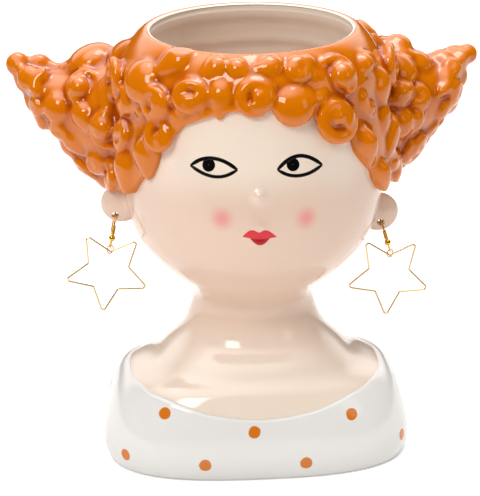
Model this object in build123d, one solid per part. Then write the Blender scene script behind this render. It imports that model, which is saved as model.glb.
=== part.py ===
from build123d import *
import os
from math import acos, atan2, cos, degrees, hypot, pi, radians, sin, sqrt

os.makedirs("parts", exist_ok=True)

# A glazed head planter: a hollow head, neck and bust with a raised dress, a cap of raised curls, two
# pointed buns, two pierced ears, and a wire star that swings from each ear.
# Millimetres. The origin is the middle of the foot, +Z is up and the face looks along -Y.

# Pot: the hollow head, neck and bust
pot_height = 204.0
wall = 5.0
floor_thickness = 8.0
base_width = 143.6
base_depth = 103.0
shoulder_height = 45.0
neck_height = 75.0
neck_width = 56.0
neck_depth = 57.0
neck_setback = 5.0
head_width = 122.0
head_depth = 124.0
mouth_width = 93.0
mouth_depth = 87.0
rim_lip = 3.5
overrun = 2.0

# Face, moulded a little off the middle as on the real pot
face_shift = -2.3
nose_height = 142.5
nose_radius = 4.2
nose_relief = 1.6
lip_height = 122.5
lip_width = 15.0
lip_thickness = 7.0
lip_relief = 1.1

# Dress: a raised layer that ends in a low neckline and leaves the foot bare
dress_thickness = 1.3
foot_line = 1.0
neckline_front = 29.0
neckline_side = 41.0

# Hair: a cap with raised curls and a smooth collar round the mouth
fringe_height = 182.0
nape_height = 124.0
cap_thickness = 3.2
collar_width = 99.0
collar_depth = 93.0
curl_radius = 8.6
back_curl_radius = 12.5
curl_flatness_share = 0.66
curl_seat_share = 0.12

# Buns: lumpy horns that point out, up and a little back
bun_reach_left = 108.8
bun_reach_right = 105.8
bun_tip_height_left = 181.5
bun_tip_height_right = 179.5
bun_root = 40.0
bun_root_height = 157.0
bun_root_radius = 31.0
bun_tip_radius = 4.5
bun_setback = 30.0
bun_root_setback = 14.0

# Ears: round pierced lobes, the left one set higher, as on the real pot
ear_radius = 9.7
ear_thickness = 7.2
ear_forward = 6.0
ear_reach_left = 61.5
ear_reach_right = 58.0
ear_height_left = 123.5
ear_height_right = 114.8
lobe_hole_radius = 1.9
lobe_hole_reach_left = 64.6
lobe_hole_reach_right = 59.6
lobe_hole_height_left = 118.7
lobe_hole_height_right = 111.1

# Ear wires: a hook through the lobe, with a coil, a bead and a loop on its shank
hook_wire_radius = 0.38
hook_bend_radius = 4.6
hook_tail_length = 6.0
loop_bend_radius = 1.5
coil_wire_radius = 0.24
coil_length = 4.0
coil_turns = 4
coil_play = 0.12
bead_radius = 1.5
bead_play = 0.06
stack_gap = 0.12
link_gap = 0.12
hook_lean_left = 11.0
hook_lean_right = 16.0

# Jump rings and stars
ring_wire_radius = 0.27
ring_bend_radius = 1.9
ring_turn = 38.0
star_wire_radius = 0.42
star_tip_radius = 18.8
star_notch_radius = 9.9
star_tip_flat = 1.6
star_lean_left = 8.0
star_lean_right = 3.7

# Wires are drawn with six sides, and a jump ring in short straight steps, to keep their faces few.
wire_sides = 6
ring_steps = 16

# Outline of the pot, row by row: height, width, depth, setback, squareness.
# Bust rows are shares of the shoulder height and of the base.
bust_shares = [
    (0.0, 0.975, 0.962, 0.0, 2.8),
    (0.09, 0.998, 0.998, 0.0, 2.8),
    (0.33, 1.0, 1.0, 0.0, 2.8),
    (0.62, 0.957, 0.961, 0.1, 2.7),
    (0.845, 0.882, 0.893, 0.2, 2.55),
    (1.0, 0.675, 0.796, 0.4, 2.4),
]
# Neck rows are shares of the way from the shoulders to the neck, and of the neck.
neck_shares = [
    (0.17, 1.49, 1.3, 0.6, 2.3),
    (0.33, 1.307, 1.158, 0.8, 2.15),
    (0.53, 1.15, 1.053, 0.9, 2.05),
    (0.77, 1.05, 1.01, 1.0, 2.0),
    (1.0, 1.0, 1.0, 1.0, 2.0),
]
# Head rows are shares of the way from the neck to the top, and of the head.
head_shares = [
    (0.054, 0.53, 0.548, 0.8, 2.0),
    (0.116, 0.67, 0.694, 0.4, 2.0),
    (0.178, 0.789, 0.806, 0.0, 2.0),
    (0.24, 0.879, 0.887, -0.2, 2.0),
    (0.318, 0.951, 0.952, -0.2, 2.0),
    (0.426, 0.992, 0.992, -0.2, 2.0),
    (0.543, 1.0, 1.0, 0.0, 2.0),
    (0.659, 0.975, 0.976, 0.0, 2.0),
    (0.775, 0.934, 0.935, 0.0, 2.0),
    (0.891, 0.885, 0.871, 0.0, 2.0),
]
# Outer outline of the hair's cap above the nape, as shares of the pot's height and of the head.
cap_shares = [
    (0.93, 0.98, 0.945),
    (0.956, 0.942, 0.9),
    (0.976, 0.896, 0.852),
    (0.99, 0.852, 0.805),
]
# Main curls of the face side: bearing in degrees from the face, height share, size share.
front_curl_shares = [
    (-2, 0.921, 1.08),
    (14, 0.897, 1.04),
    (37, 0.934, 1.12),
    (34, 0.86, 1.04),
    (72, 0.872, 1.02),
    (49, 0.79, 0.94),
    (57, 0.7, 0.84),
    (-34, 0.913, 1.08),
    (-46, 0.826, 0.98),
    (-62, 0.922, 1.02),
    (-72, 0.83, 0.96),
    (-62, 0.715, 0.84),
]
# Broad curls of the back: bearing and height share.
back_curl_shares = [
    (116, 0.9),
    (128, 0.71),
    (152, 0.85),
    (180, 0.72),
    (208, 0.85),
    (232, 0.71),
    (244, 0.9),
]
# Bun outline: share of the way from root to tip, share of the rise, radius share.
bun_shares = [
    (0.0, 0.0, 0.74),
    (0.26, 0.0, 0.94),
    (0.43, 0.02, 0.93),
    (0.55, 0.1, 0.76),
    (0.66, 0.19, 0.6),
    (0.77, 0.32, 0.48),
    (0.86, 0.5, 0.36),
    (0.93, 0.72, 0.2),
    (0.98, 0.92, 0.12),
]
# Main curls on a bun: share of the way to the tip, bearing round it in degrees, size share.
bun_curl_shares = [
    (0.54, 250, 1.4),
    (0.66, 150, 1.15),
]


def pot_rows():
    """Every outline row of the pot as height, half width, half depth, setback and squareness."""
    rows = []
    for up, wide, deep, back, square in bust_shares:
        rows.append([up * shoulder_height, wide * base_width / 2, deep * base_depth / 2,
                     back * neck_setback, square])
    rise = neck_height - shoulder_height
    for up, wide, deep, back, square in neck_shares:
        rows.append([shoulder_height + up * rise, wide * neck_width / 2, deep * neck_depth / 2,
                     back * neck_setback, square])
    rise = pot_height - neck_height
    for up, wide, deep, back, square in head_shares:
        rows.append([neck_height + up * rise, wide * head_width / 2, deep * head_depth / 2,
                     back * neck_setback, square])
    rows.append([pot_height - rim_lip, mouth_width / 2 + wall, mouth_depth / 2 + wall, 0.0, 2.0])
    return rows


def row_at(rows, height):
    """The outline row at any height, read between the two rows round it."""
    for low, high in zip(rows, rows[1:]):
        if height <= high[0]:
            share = max(0.0, (height - low[0]) / (high[0] - low[0]))
            return [a + share * (b - a) for a, b in zip(low, high)]
    return rows[-1]


def row_radius(row, bearing):
    """Distance from a row's centre to its outline, at a bearing in radians from the face."""
    across = abs(sin(bearing)) / row[1]
    along = abs(cos(bearing)) / row[2]
    return (across ** row[4] + along ** row[4]) ** (-1 / row[4])


def row_point(row, bearing, radius):
    return radius * sin(bearing), row[3] - radius * cos(bearing)


def ring_face(height, points):
    return Plane.XY.offset(height) * make_face(Spline(*points, periodic=True))


def row_face(row, points=16):
    bearings = [2 * pi * i / points for i in range(points)]
    return ring_face(row[0], [row_point(row, b, row_radius(row, b)) for b in bearings])


def inset_rows(rows, thickness):
    """Rows moved inwards by a wall, square to the side outline."""
    moved = []
    for i, row in enumerate(rows):
        low = rows[max(i - 1, 0)]
        high = rows[min(i + 1, len(rows) - 1)]
        climb = high[0] - low[0]
        spread = high[1] - low[1]
        length = hypot(climb, spread)
        in_by = thickness * climb / length
        moved.append([row[0] + thickness * spread / length, row[1] - in_by, row[2] - in_by,
                      row[3], row[4]])
    return moved


def skin_rows():
    """Outer rows of the pot itself, set back under the dress by the dress's thickness."""
    rows = pot_rows()
    for row in rows:
        if row[0] <= shoulder_height:
            row[1] -= dress_thickness
            row[2] -= dress_thickness
    return rows


def solid_pot():
    return loft([row_face(row) for row in skin_rows()])


def cavity():
    """The hollow, from the floor to past the rim."""
    rows = [row for row in inset_rows(skin_rows(), wall) if row[0] > floor_thickness + overrun]
    rows = rows[:1] + rows[2:4] + rows[6:10:2] + rows[11:13] + rows[14:-1:2]
    low = row_at(rows, floor_thickness)
    floor_row = [floor_thickness, low[1] - wall, low[2] - wall, low[3], low[4]]
    rim_row = [pot_height - rim_lip - wall, mouth_width / 2, mouth_depth / 2, 0.0, 2.0]
    top_row = [pot_height + overrun, mouth_width / 2, mouth_depth / 2, 0.0, 2.0]
    return loft([row_face(row) for row in [floor_row] + rows + [rim_row, top_row]], ruled=True)


def face_spot(height, shift):
    """A point of the face's surface at a height and a shift from the middle."""
    row = row_at(skin_rows(), height)
    bearing = atan2(shift, row[2])
    x, y = row_point(row, bearing, row_radius(row, bearing))
    return x, y


def face_relief():
    """The button nose and the low lips, to be joined to the head."""
    x, y = face_spot(nose_height, face_shift)
    nose = Pos(x, y + nose_radius - nose_relief, nose_height) * Sphere(nose_radius)
    x, y = face_spot(lip_height, face_shift)
    pad = scale(Sphere(lip_width / 2), by=(1, 2 * lip_relief / lip_width, lip_thickness / lip_width))
    slope = degrees(atan2(face_spot(lip_height - lip_thickness, face_shift)[1] - y, lip_thickness))
    return nose, Pos(x, y, lip_height) * Rot(-slope, 0, 0) * pad


def make_vessel(outer):
    nose, lips = face_relief()
    return (outer + nose + lips) - cavity()


def neckline_cut():
    """Everything above the neckline, which dips at the front and the back alike."""
    half = base_width / 2
    rise = neckline_side - neckline_front
    line_shares = [(0.0, 0.0), (0.14, 0.05), (0.35, 0.24), (0.57, 0.62), (0.73, 0.83), (0.9, 1.0)]
    right = [(half * out, neckline_front + rise * up) for out, up in line_shares]
    left = [(-x, z) for x, z in reversed(right[1:])]
    end = right[-1]
    edge = half + overrun
    frame = Polyline(end, (edge, end[1]), (edge, neck_height), (-edge, neck_height), (-edge, end[1]),
                     (-end[0], end[1]))
    return extrude(Plane.XZ * make_face(Spline(*(left + right)) + frame), base_depth, both=True)


def make_dress(outer):
    rows = [row for row in pot_rows() if foot_line < row[0] <= neck_height]
    low = row_at(pot_rows(), foot_line)
    return loft([row_face(row) for row in [[foot_line] + low[1:]] + rows]) - outer - neckline_cut()


def cap_rows():
    """Outer rows of the smooth cap and its collar."""
    low = nape_height - cap_thickness
    rows = [row_at(pot_rows(), low)] + [row for row in pot_rows() if row[0] > low]
    rows = [row for row in rows if row[0] < (cap_shares[0][0] * pot_height - cap_thickness)]
    rows = [[row[0], row[1] + cap_thickness, row[2] + cap_thickness, row[3], row[4]] for row in rows]
    for up, wide, deep in cap_shares:
        rows.append([up * pot_height, wide * head_width / 2, deep * head_depth / 2, 0.0, 2.0])
    rows.append([pot_height, collar_width / 2, collar_depth / 2, 0.0, 2.0])
    return rows


def curl(rows, bearing, height, radius):
    """A flattened ball, seated square to the surface that the rows draw."""
    step = radius / 4
    row = row_at(rows, height)
    x, y = row_point(row, bearing, row_radius(row, bearing))
    high = row_at(rows, height + step)
    low = row_at(rows, height - step)
    spread = row_radius(high, bearing) - row_radius(low, bearing)
    out = Vector(sin(bearing) / row[1], -cos(bearing) / row[2], 0).normalized()
    normal = Vector(out.X, out.Y, -spread / (2 * step)).normalized()
    ball = scale(Sphere(radius), by=(1, 1, curl_flatness_share))
    return Plane(Vector(x, y, height) - normal * radius * curl_seat_share, z_dir=normal) * ball


def hairline_cut():
    """Everything below the hairline: an arch over the face, and a level edge round the nape."""
    half = head_width / 2
    rise = fringe_height - nape_height
    arch_shares = [(0.0, 1.0), (0.3, 0.97), (0.56, 0.84), (0.73, 0.6), (0.84, 0.32), (0.9, 0.0)]
    right = [(half * out, nape_height + rise * up) for out, up in arch_shares]
    left = [(-x, z) for x, z in reversed(right[1:])]
    arch = make_face(Spline(*(left + right)) + Line(right[-1], left[0]))
    face = extrude(Plane.XZ * arch, head_depth)
    size = head_width + head_depth
    return [face, Pos(0, 0, nape_height - size / 2) * Box(size, size, size)]


def make_hair(outer, cut_by):
    """The curly cap, seated on the head, with its lip over the pot's rim."""
    rows = cap_rows()
    cap = loft([row_face(row) for row in rows]) - hairline_cut()
    curls = [curl(rows, radians(b), up * pot_height, size * curl_radius)
             for b, up, size in front_curl_shares]
    curls += [curl(rows, radians(b), up * pot_height, back_curl_radius) for b, up in back_curl_shares]
    mouth = Ellipse(mouth_width / 2, mouth_depth / 2)
    opening = Pos(0, 0, pot_height - rim_lip - wall) * extrude(mouth, rim_lip + wall + overrun)
    hair = cap + curls
    for tool in [outer, opening] + cut_by:
        hair = hair - tool
    return hair


def bun_spot(side, reach, tip_height, share, rise_share):
    """A point on a bun's middle line."""
    x = side * (bun_root + share * (reach - bun_root))
    y = bun_root_setback + share * (bun_setback - bun_root_setback)
    z = bun_root_height + rise_share * (tip_height - bun_root_height)
    return Vector(x, y, z)


def make_bun(side, reach, tip_height, outer):
    """A horn of hair with its main curls and its ball tip, seated on the head."""
    faces = []
    spots = []
    for share, rise, size in bun_shares:
        spot = bun_spot(side, reach, tip_height, share, rise)
        spots.append((share, spot, size * bun_root_radius))
        faces.append(Plane(spot, x_dir=(0, 1, 0), z_dir=(side, 0, 0)) * Circle(size * bun_root_radius))
    bun = loft(faces) + Pos(bun_spot(side, reach, tip_height, 1.0, 1.0)) * Sphere(bun_tip_radius)
    curls = []
    for share, bearing, size in bun_curl_shares:
        low, high = [pair for pair in zip(spots, spots[1:]) if pair[0][0] <= share][-1]
        part = (share - low[0]) / (high[0] - low[0])
        middle = low[1] + (high[1] - low[1]) * part
        radius = low[2] + (high[2] - low[2]) * part
        turn = radians(bearing)
        lean = (low[2] - high[2]) / (abs(high[1].X - low[1].X))
        out = Vector(0, cos(turn), sin(turn))
        normal = (out + Vector(side * lean, 0, 0)).normalized()
        ball = scale(Sphere(size * curl_radius), by=(1, 1, curl_flatness_share))
        seat = middle + out * radius - normal * size * curl_radius * curl_seat_share
        curls.append(Plane(seat, z_dir=normal) * ball)
    return bun + curls - outer


def make_ear(side, reach, height, hole_reach, hole_height, outer):
    """A round lobe, flat to the front, with its hole from front to back."""
    lobe = scale(Sphere(ear_radius), by=(1, ear_thickness / 2 / ear_radius, 1))
    hole = Rot(90, 0, 0) * Cylinder(lobe_hole_radius, ear_thickness + overrun)
    lobe = Pos(side * reach, -ear_forward, height) * lobe
    return lobe - Pos(side * hole_reach, -ear_forward, hole_height) * hole - outer


def wire(path, radius):
    start = Plane(path @ 0, z_dir=path % 0)
    return sweep(start * RegularPolygon(radius, wire_sides), path)


def closed_wire(corners, radius):
    """A closed wire of straight runs that meet at mitred corners."""
    first = (corners[0] + corners[-1]) / 2
    path = Polyline(*([first] + corners + [first]))
    start = Plane(first, z_dir=(corners[0] - corners[-1]).normalized())
    section = start * RegularPolygon(radius, wire_sides)
    return sweep(section, path.wire(), transition=Transition.RIGHT)


def hook_seat(side, ear_reach, ear_height, hole_reach, hole_height):
    """The pivot of the hook in the lobe, and how far the hook's bend sits below it."""
    away = hypot(hole_reach - ear_reach, hole_height - ear_height)
    half = ear_thickness / 2 * sqrt(1 - (away / ear_radius) ** 2)
    low = hole_height - lobe_hole_radius
    pivot = Vector(side * hole_reach, -ear_forward, low + hook_wire_radius + link_gap)
    inside = hook_bend_radius - hook_wire_radius - link_gap
    bend_height = low - sqrt(inside ** 2 - half ** 2)
    return pivot, pivot.Z - bend_height


def stack_heights(drop):
    """Heights of the coil's top, the bead's middle and the loop's middle, below the hook's pivot."""
    coil_top = -drop - stack_gap - coil_wire_radius
    bead = coil_top - coil_length - coil_wire_radius - stack_gap - bead_radius
    loop = bead - bead_radius - stack_gap - hook_wire_radius - loop_bend_radius
    return coil_top, bead, loop


def make_hook(drop):
    """Ear wire with its pivot at the origin: tail, bend over the lobe, shank and end loop."""
    back = hook_bend_radius
    loop = stack_heights(drop)[2]
    eye = -back + loop_bend_radius
    bend_top = Vector(0, 0, back - drop)
    edges = [
        Edge.make_line(Vector(0, back, -drop - hook_tail_length), Vector(0, back, -drop)),
        Edge.make_three_point_arc(Vector(0, back, -drop), bend_top, Vector(0, -back, -drop)),
        Edge.make_line(Vector(0, -back, -drop), Vector(0, -back, loop)),
        Edge.make_three_point_arc(Vector(0, -back, loop), Vector(0, eye, loop - loop_bend_radius),
                                  Vector(0, eye + loop_bend_radius, loop)),
        Edge.make_three_point_arc(Vector(0, eye + loop_bend_radius, loop),
                                  Vector(0, eye + loop_bend_radius * sqrt(0.5),
                                         loop + loop_bend_radius * sqrt(0.5)),
                                  Vector(0, eye, loop + loop_bend_radius)),
    ]
    return wire(Wire(edges), hook_wire_radius)


def biarc(start, start_way, end, end_way):
    """Two tangent arcs from one point to another."""
    chord = end - start
    square = 2 * (1 - start_way.dot(end_way))
    linear = 2 * chord.dot(start_way + end_way)
    reach = (sqrt(linear ** 2 + 4 * square * chord.dot(chord)) - linear) / (2 * square)
    middle = (start + start_way * reach + end - end_way * reach) / 2
    middle_way = (end - end_way * reach - start - start_way * reach).normalized()
    return [Edge.make_tangent_arc(start, start_way, middle),
            Edge.make_tangent_arc(middle, middle_way, end)]


def make_coil(drop):
    """The coil wound round the shank: one unbroken wire in half turns."""
    middle = hook_wire_radius + coil_play + coil_wire_radius
    top = stack_heights(drop)[0]
    pitch = coil_length / coil_turns
    spots = []
    ways = []
    for i in range(2 * coil_turns + 1):
        turn = pi * i
        spots.append(Vector(middle * cos(turn), middle * sin(turn) - hook_bend_radius, top - pitch * i / 2))
        ways.append(Vector(-2 * pi * middle * sin(turn), 2 * pi * middle * cos(turn), -pitch).normalized())
    edges = [Edge.make_line(spots[0] - ways[0] * 2 * coil_wire_radius, spots[0])]
    for i in range(2 * coil_turns):
        edges += biarc(spots[i], ways[i], spots[i + 1], ways[i + 1])
    edges.append(Edge.make_line(spots[-1], spots[-1] + ways[-1] * 2 * coil_wire_radius))
    path = Wire(edges)
    samples = 48 * coil_turns
    points = [path @ (i / samples) for i in range(samples + 1)]
    apart = samples // coil_turns // 2
    pairs = [(a, b) for i, a in enumerate(points) for b in points[i + apart:]]
    gap = min((a - b).length for a, b in pairs)
    print("coil least gap to itself", round(gap - 2 * coil_wire_radius, 2))
    return wire(path, coil_wire_radius)


def make_bead(drop):
    """A small round bead on the shank, drawn with a few straight facets from pole to pole."""
    bore = hook_wire_radius + bead_play
    start = acos(bore / bead_radius)
    steps = 5
    turns = [start - 2 * start * i / steps for i in range(steps + 1)]
    outline = Polyline(*[(bead_radius * cos(t), bead_radius * sin(t)) for t in turns], close=True)
    bead = revolve(Plane.XZ * make_face(outline), Axis.Z)
    return Pos(0, -hook_bend_radius, stack_heights(drop)[1]) * bead


def make_jump_ring():
    """A jump ring, its middle at the origin, turned between the loop's plane and the star's."""
    steps = [2 * pi * i / ring_steps for i in range(ring_steps)]
    corners = [Vector(ring_bend_radius * cos(t), 0, ring_bend_radius * sin(t)) for t in steps]
    return Rot(0, 0, ring_turn) * closed_wire(corners, ring_wire_radius)


def make_star():
    """A bent wire star with its hanging notch at the origin and one tip down."""
    corners = []
    for i in range(5):
        tip = radians(36 + 72 * i)
        notch = radians(72 + 72 * i)
        across = Vector(cos(tip), 0, -sin(tip)) * star_tip_flat / 2
        end = Vector(sin(tip), 0, cos(tip)) * star_tip_radius
        corners += [end - across, end + across]
        corners.append(Vector(sin(notch), 0, cos(notch)) * star_notch_radius)
    drop = Vector(0, 0, -star_notch_radius)
    corners = [corner + drop for corner in corners]
    return closed_wire(corners, star_wire_radius)


def export(shape, node):
    export_step(shape, "parts/" + node + ".step")
    print(node, shape.is_valid, len(shape.solids()), round(shape.volume, 1))


def make_earring(side, name, seat, lean, star_lean):
    """One earring, placed at its lobe: hook, coil and bead lean together, ring and star hang."""
    pivot, drop = seat
    place = Pos(pivot) * Rot(0, -side * lean, 0)
    export(place * make_hook(drop), "ear_wire_" + name)
    export(place * make_coil(drop), "wire_coil_" + name)
    export(place * make_bead(drop), "bead_" + name)
    loop = stack_heights(drop)[2]
    eye = Vector(0, loop_bend_radius - hook_bend_radius, loop - loop_bend_radius)
    low = pivot + eye.rotate(Axis.Y, -side * lean)
    ring_top = low + Vector(0, 0, hook_wire_radius + link_gap + ring_wire_radius)
    ring_low = ring_top - Vector(0, 0, 2 * ring_bend_radius)
    export(Pos((ring_top + ring_low) / 2) * make_jump_ring(), "jump_ring_" + name)
    notch = ring_low + Vector(0, 0, ring_wire_radius + link_gap + star_wire_radius)
    export(Pos(notch) * Rot(0, star_lean, 0) * make_star(), "star_" + name)
    print(name, "hook pivot", tuple(round(v, 2) for v in pivot))
    print(name, "ring pivot", tuple(round(v, 2) for v in low))
    print(name, "star pivot", tuple(round(v, 2) for v in notch))


outer = solid_pot()
export(make_vessel(outer), "vessel")
export(make_dress(outer), "dress")
bun_left = make_bun(-1, bun_reach_left, bun_tip_height_left, outer)
bun_right = make_bun(1, bun_reach_right, bun_tip_height_right, outer)
ear_left = make_ear(-1, ear_reach_left, ear_height_left, lobe_hole_reach_left, lobe_hole_height_left,
                    outer)
ear_right = make_ear(1, ear_reach_right, ear_height_right, lobe_hole_reach_right,
                     lobe_hole_height_right, outer)
export(make_hair(outer, [bun_left, bun_right, ear_left, ear_right]), "hair")
export(bun_left, "bun_left")
export(bun_right, "bun_right")
export(ear_left, "ear_left")
export(ear_right, "ear_right")
seat_left = hook_seat(-1, ear_reach_left, ear_height_left, lobe_hole_reach_left, lobe_hole_height_left)
seat_right = hook_seat(1, ear_reach_right, ear_height_right, lobe_hole_reach_right,
                       lobe_hole_height_right)
make_earring(-1, "left", seat_left, hook_lean_left, star_lean_left)
make_earring(1, "right", seat_right, hook_lean_right, star_lean_right)
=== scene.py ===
# %% [markdown]
# A glazed head planter.
# The real object is a slip-cast pot in the shape of a doll's head and bust. Its dress and its curls are
# raised in the mould, it is glazed in cream, white and orange, and a bent wire star hangs from each ear.
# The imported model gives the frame: every piece below is built in metres in the same place as its solid.

# %% Load the frame
import math

import bpy
import numpy as np
from mathutils import Matrix, Vector
from mathutils.bvhtree import BVHTree


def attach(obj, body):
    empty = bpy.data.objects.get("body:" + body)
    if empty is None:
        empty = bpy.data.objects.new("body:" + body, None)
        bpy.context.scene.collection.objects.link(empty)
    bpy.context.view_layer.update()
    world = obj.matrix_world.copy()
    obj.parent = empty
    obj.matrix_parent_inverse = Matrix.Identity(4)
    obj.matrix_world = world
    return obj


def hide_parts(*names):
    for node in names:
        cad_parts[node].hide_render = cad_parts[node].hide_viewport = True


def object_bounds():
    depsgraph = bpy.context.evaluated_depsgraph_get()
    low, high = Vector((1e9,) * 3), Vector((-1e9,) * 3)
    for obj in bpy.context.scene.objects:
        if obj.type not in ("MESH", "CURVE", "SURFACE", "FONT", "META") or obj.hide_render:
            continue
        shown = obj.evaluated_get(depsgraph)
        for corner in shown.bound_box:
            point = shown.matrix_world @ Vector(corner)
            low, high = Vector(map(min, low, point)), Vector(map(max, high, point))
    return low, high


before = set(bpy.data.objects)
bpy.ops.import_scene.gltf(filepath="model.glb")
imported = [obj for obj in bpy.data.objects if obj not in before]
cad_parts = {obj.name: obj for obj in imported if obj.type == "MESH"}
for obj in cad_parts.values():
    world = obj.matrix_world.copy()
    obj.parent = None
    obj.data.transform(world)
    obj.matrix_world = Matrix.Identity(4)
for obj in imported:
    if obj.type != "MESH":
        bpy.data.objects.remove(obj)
cad_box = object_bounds()
mm = 0.001
print("size in mm", [round((b - a) / mm, 1) for a, b in zip(*cad_box)])

# %% [markdown]
# The camera comes first, because the curls are placed on the photograph.
# The photograph was taken from about 1.5 m, a little from above and from the viewer's left of the nose,
# with a long lens, so the frame is 480 by 496 pixels and the sensor's long side is its height.

# %% Camera
photo_width = 480
photo_height = 496
camera_distance = 1.5
camera_elevation = math.radians(19.0)
camera_turn = math.radians(4.5)
camera_roll = math.radians(-0.6)
camera_target = Vector((-0.0062, 0.0, 0.097))
focal_pixels = 3198.0

back = Vector((-math.sin(camera_turn) * math.cos(camera_elevation),
    -math.cos(camera_turn) * math.cos(camera_elevation), math.sin(camera_elevation)))
eye = camera_target + back * camera_distance
camera_data = bpy.data.cameras.new("camera")
camera_data.sensor_width = 36.0
camera_data.lens = 36.0 * focal_pixels / photo_height
camera = bpy.data.objects.new("camera", camera_data)
bpy.context.scene.collection.objects.link(camera)
level = (-back).to_track_quat("-Z", "Y").to_matrix()
camera.matrix_world = Matrix.Translation(eye) @ (level @ Matrix.Rotation(camera_roll, 3, "Z")).to_4x4()
bpy.context.scene.camera = camera
bpy.context.scene.view_settings.view_transform = "Standard"
bpy.context.view_layer.update()


def ray_through(px, py):
    """The direction from the camera through a pixel of the photograph."""
    across = (px - photo_width / 2) / focal_pixels
    up = (photo_height / 2 - py) / focal_pixels
    return (camera.matrix_world.to_3x3() @ Vector((across, up, -1.0))).normalized()


print("lens in mm", round(camera_data.lens, 1))

# %% [markdown]
# Helpers. A colour is written as its sRGB hex value, as a glaze chart gives it, and one function turns it
# to linear light. One small function adds a node to a tree and sets it up, and another wires its inputs.

# %% Helpers for colours, nodes and objects


def linear(hex_colour):
    """An sRGB hex colour as linear red, green, blue and alpha."""
    values = [int(hex_colour[i:i + 2], 16) / 255 for i in (1, 3, 5)]
    return [v / 12.92 if v <= 0.04045 else ((v + 0.055) / 1.055) ** 2.4 for v in values] + [1.0]


def fill(tree, node, inputs):
    """Fills inputs with values, with other nodes' sockets, or with the first live output of other nodes."""
    for key, value in inputs.items():
        if isinstance(value, bpy.types.Node):
            value = next(socket for socket in value.outputs if socket.enabled)
        if isinstance(value, bpy.types.NodeSocket):
            tree.links.new(value, node.inputs[key])
        else:
            node.inputs[key].default_value = value


def add(tree, kind, inputs=None, **settings):
    """Adds a node with its settings, and fills its inputs."""
    made = tree.nodes.new(kind)
    for name, value in settings.items():
        setattr(made, name, value)
    fill(tree, made, inputs or {})
    return made


def new_object(name, mesh):
    made = bpy.data.objects.new(name, mesh)
    bpy.context.scene.collection.objects.link(made)
    return made


def mesh_of(name, points, faces):
    """A smooth-shaded mesh from points in metres."""
    mesh = bpy.data.meshes.new(name)
    mesh.from_pydata([tuple(p) for p in points], [], [tuple(int(i) for i in f) for f in faces])
    mesh.validate()
    mesh.shade_smooth()
    return mesh


def settled(obj, name):
    """The object with its modifiers turned into a plain mesh of its own."""
    graph = bpy.context.evaluated_depsgraph_get()
    mesh = bpy.data.meshes.new_from_object(obj.evaluated_get(graph), depsgraph=graph)
    mesh.name = name
    if not any(mesh.materials):
        mesh.materials.clear()
    bpy.data.objects.remove(obj)
    return new_object(name, mesh)


# %% [markdown]
# Glazes. A glaze is a thin layer of glass over clay, so it has the sharp, bright highlights of glass, an
# IOR near 1.5 and almost no roughness, with a colour that lies under the gloss. Thin glaze on a crest is
# lighter than the glaze that pools in a crease, and the creases carry painted shade as well. A brushed-on
# glaze is never quite even.

# %% Materials: glazes
gloss_ior = 1.5
gloss_roughness = 0.1
orange_roughness = 0.08
# Depth of a crease in millimetres where the orange is thinnest and lightest and where it is thickest and
# darkest, with painted shade deepening the creases, and how much it clouds.
crease_thin = -0.1
crease_thick = 0.9
orange_clouds = 0.25
# Glaze colour on crests and in creases. The crease colour is partly pooled glaze and partly painted shade.
orange_crest = "#DA7600"
orange_crease_pool_and_shade = "#A84400"
cream_colour = "#F3E1CF"
# A deeper, rosier cream that paints shade on the neck, chin and cheeks.
lower_shade_colour = "#E4C6B2"
blush_colour = "#E8938C"
white_colour = "#EAE8E4"
dot_colour = "#D9771A"
inside_colour = "#F3ECDC"
mouth_width = 93.0
mouth_depth = 87.0
# The orange is wiped off between these shares of the mouth's outline.
wiped_from = 1.024
wiped_to = 1.036


def new_material(name):
    material = bpy.data.materials.new(name)
    material.use_nodes = True
    tree = material.node_tree
    tree.nodes.clear()
    shader = add(tree, "ShaderNodeBsdfPrincipled")
    add(tree, "ShaderNodeOutputMaterial", {"Surface": shader})
    return material, tree, shader


def glaze_bump(tree, shader, grain, depth):
    """The slow unevenness of a poured glaze, a few tenths of a millimetre deep."""
    place = add(tree, "ShaderNodeTexCoord")
    noise = add(tree, "ShaderNodeTexNoise", {"Vector": place.outputs["Object"], "Scale": 1 / grain,
        "Detail": 1.0, "Roughness": 0.4})
    bump = add(tree, "ShaderNodeBump", {"Height": noise, "Distance": depth, "Strength": 1.0})
    fill(tree, shader, {"Normal": bump})
    return place.outputs["Object"]


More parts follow.
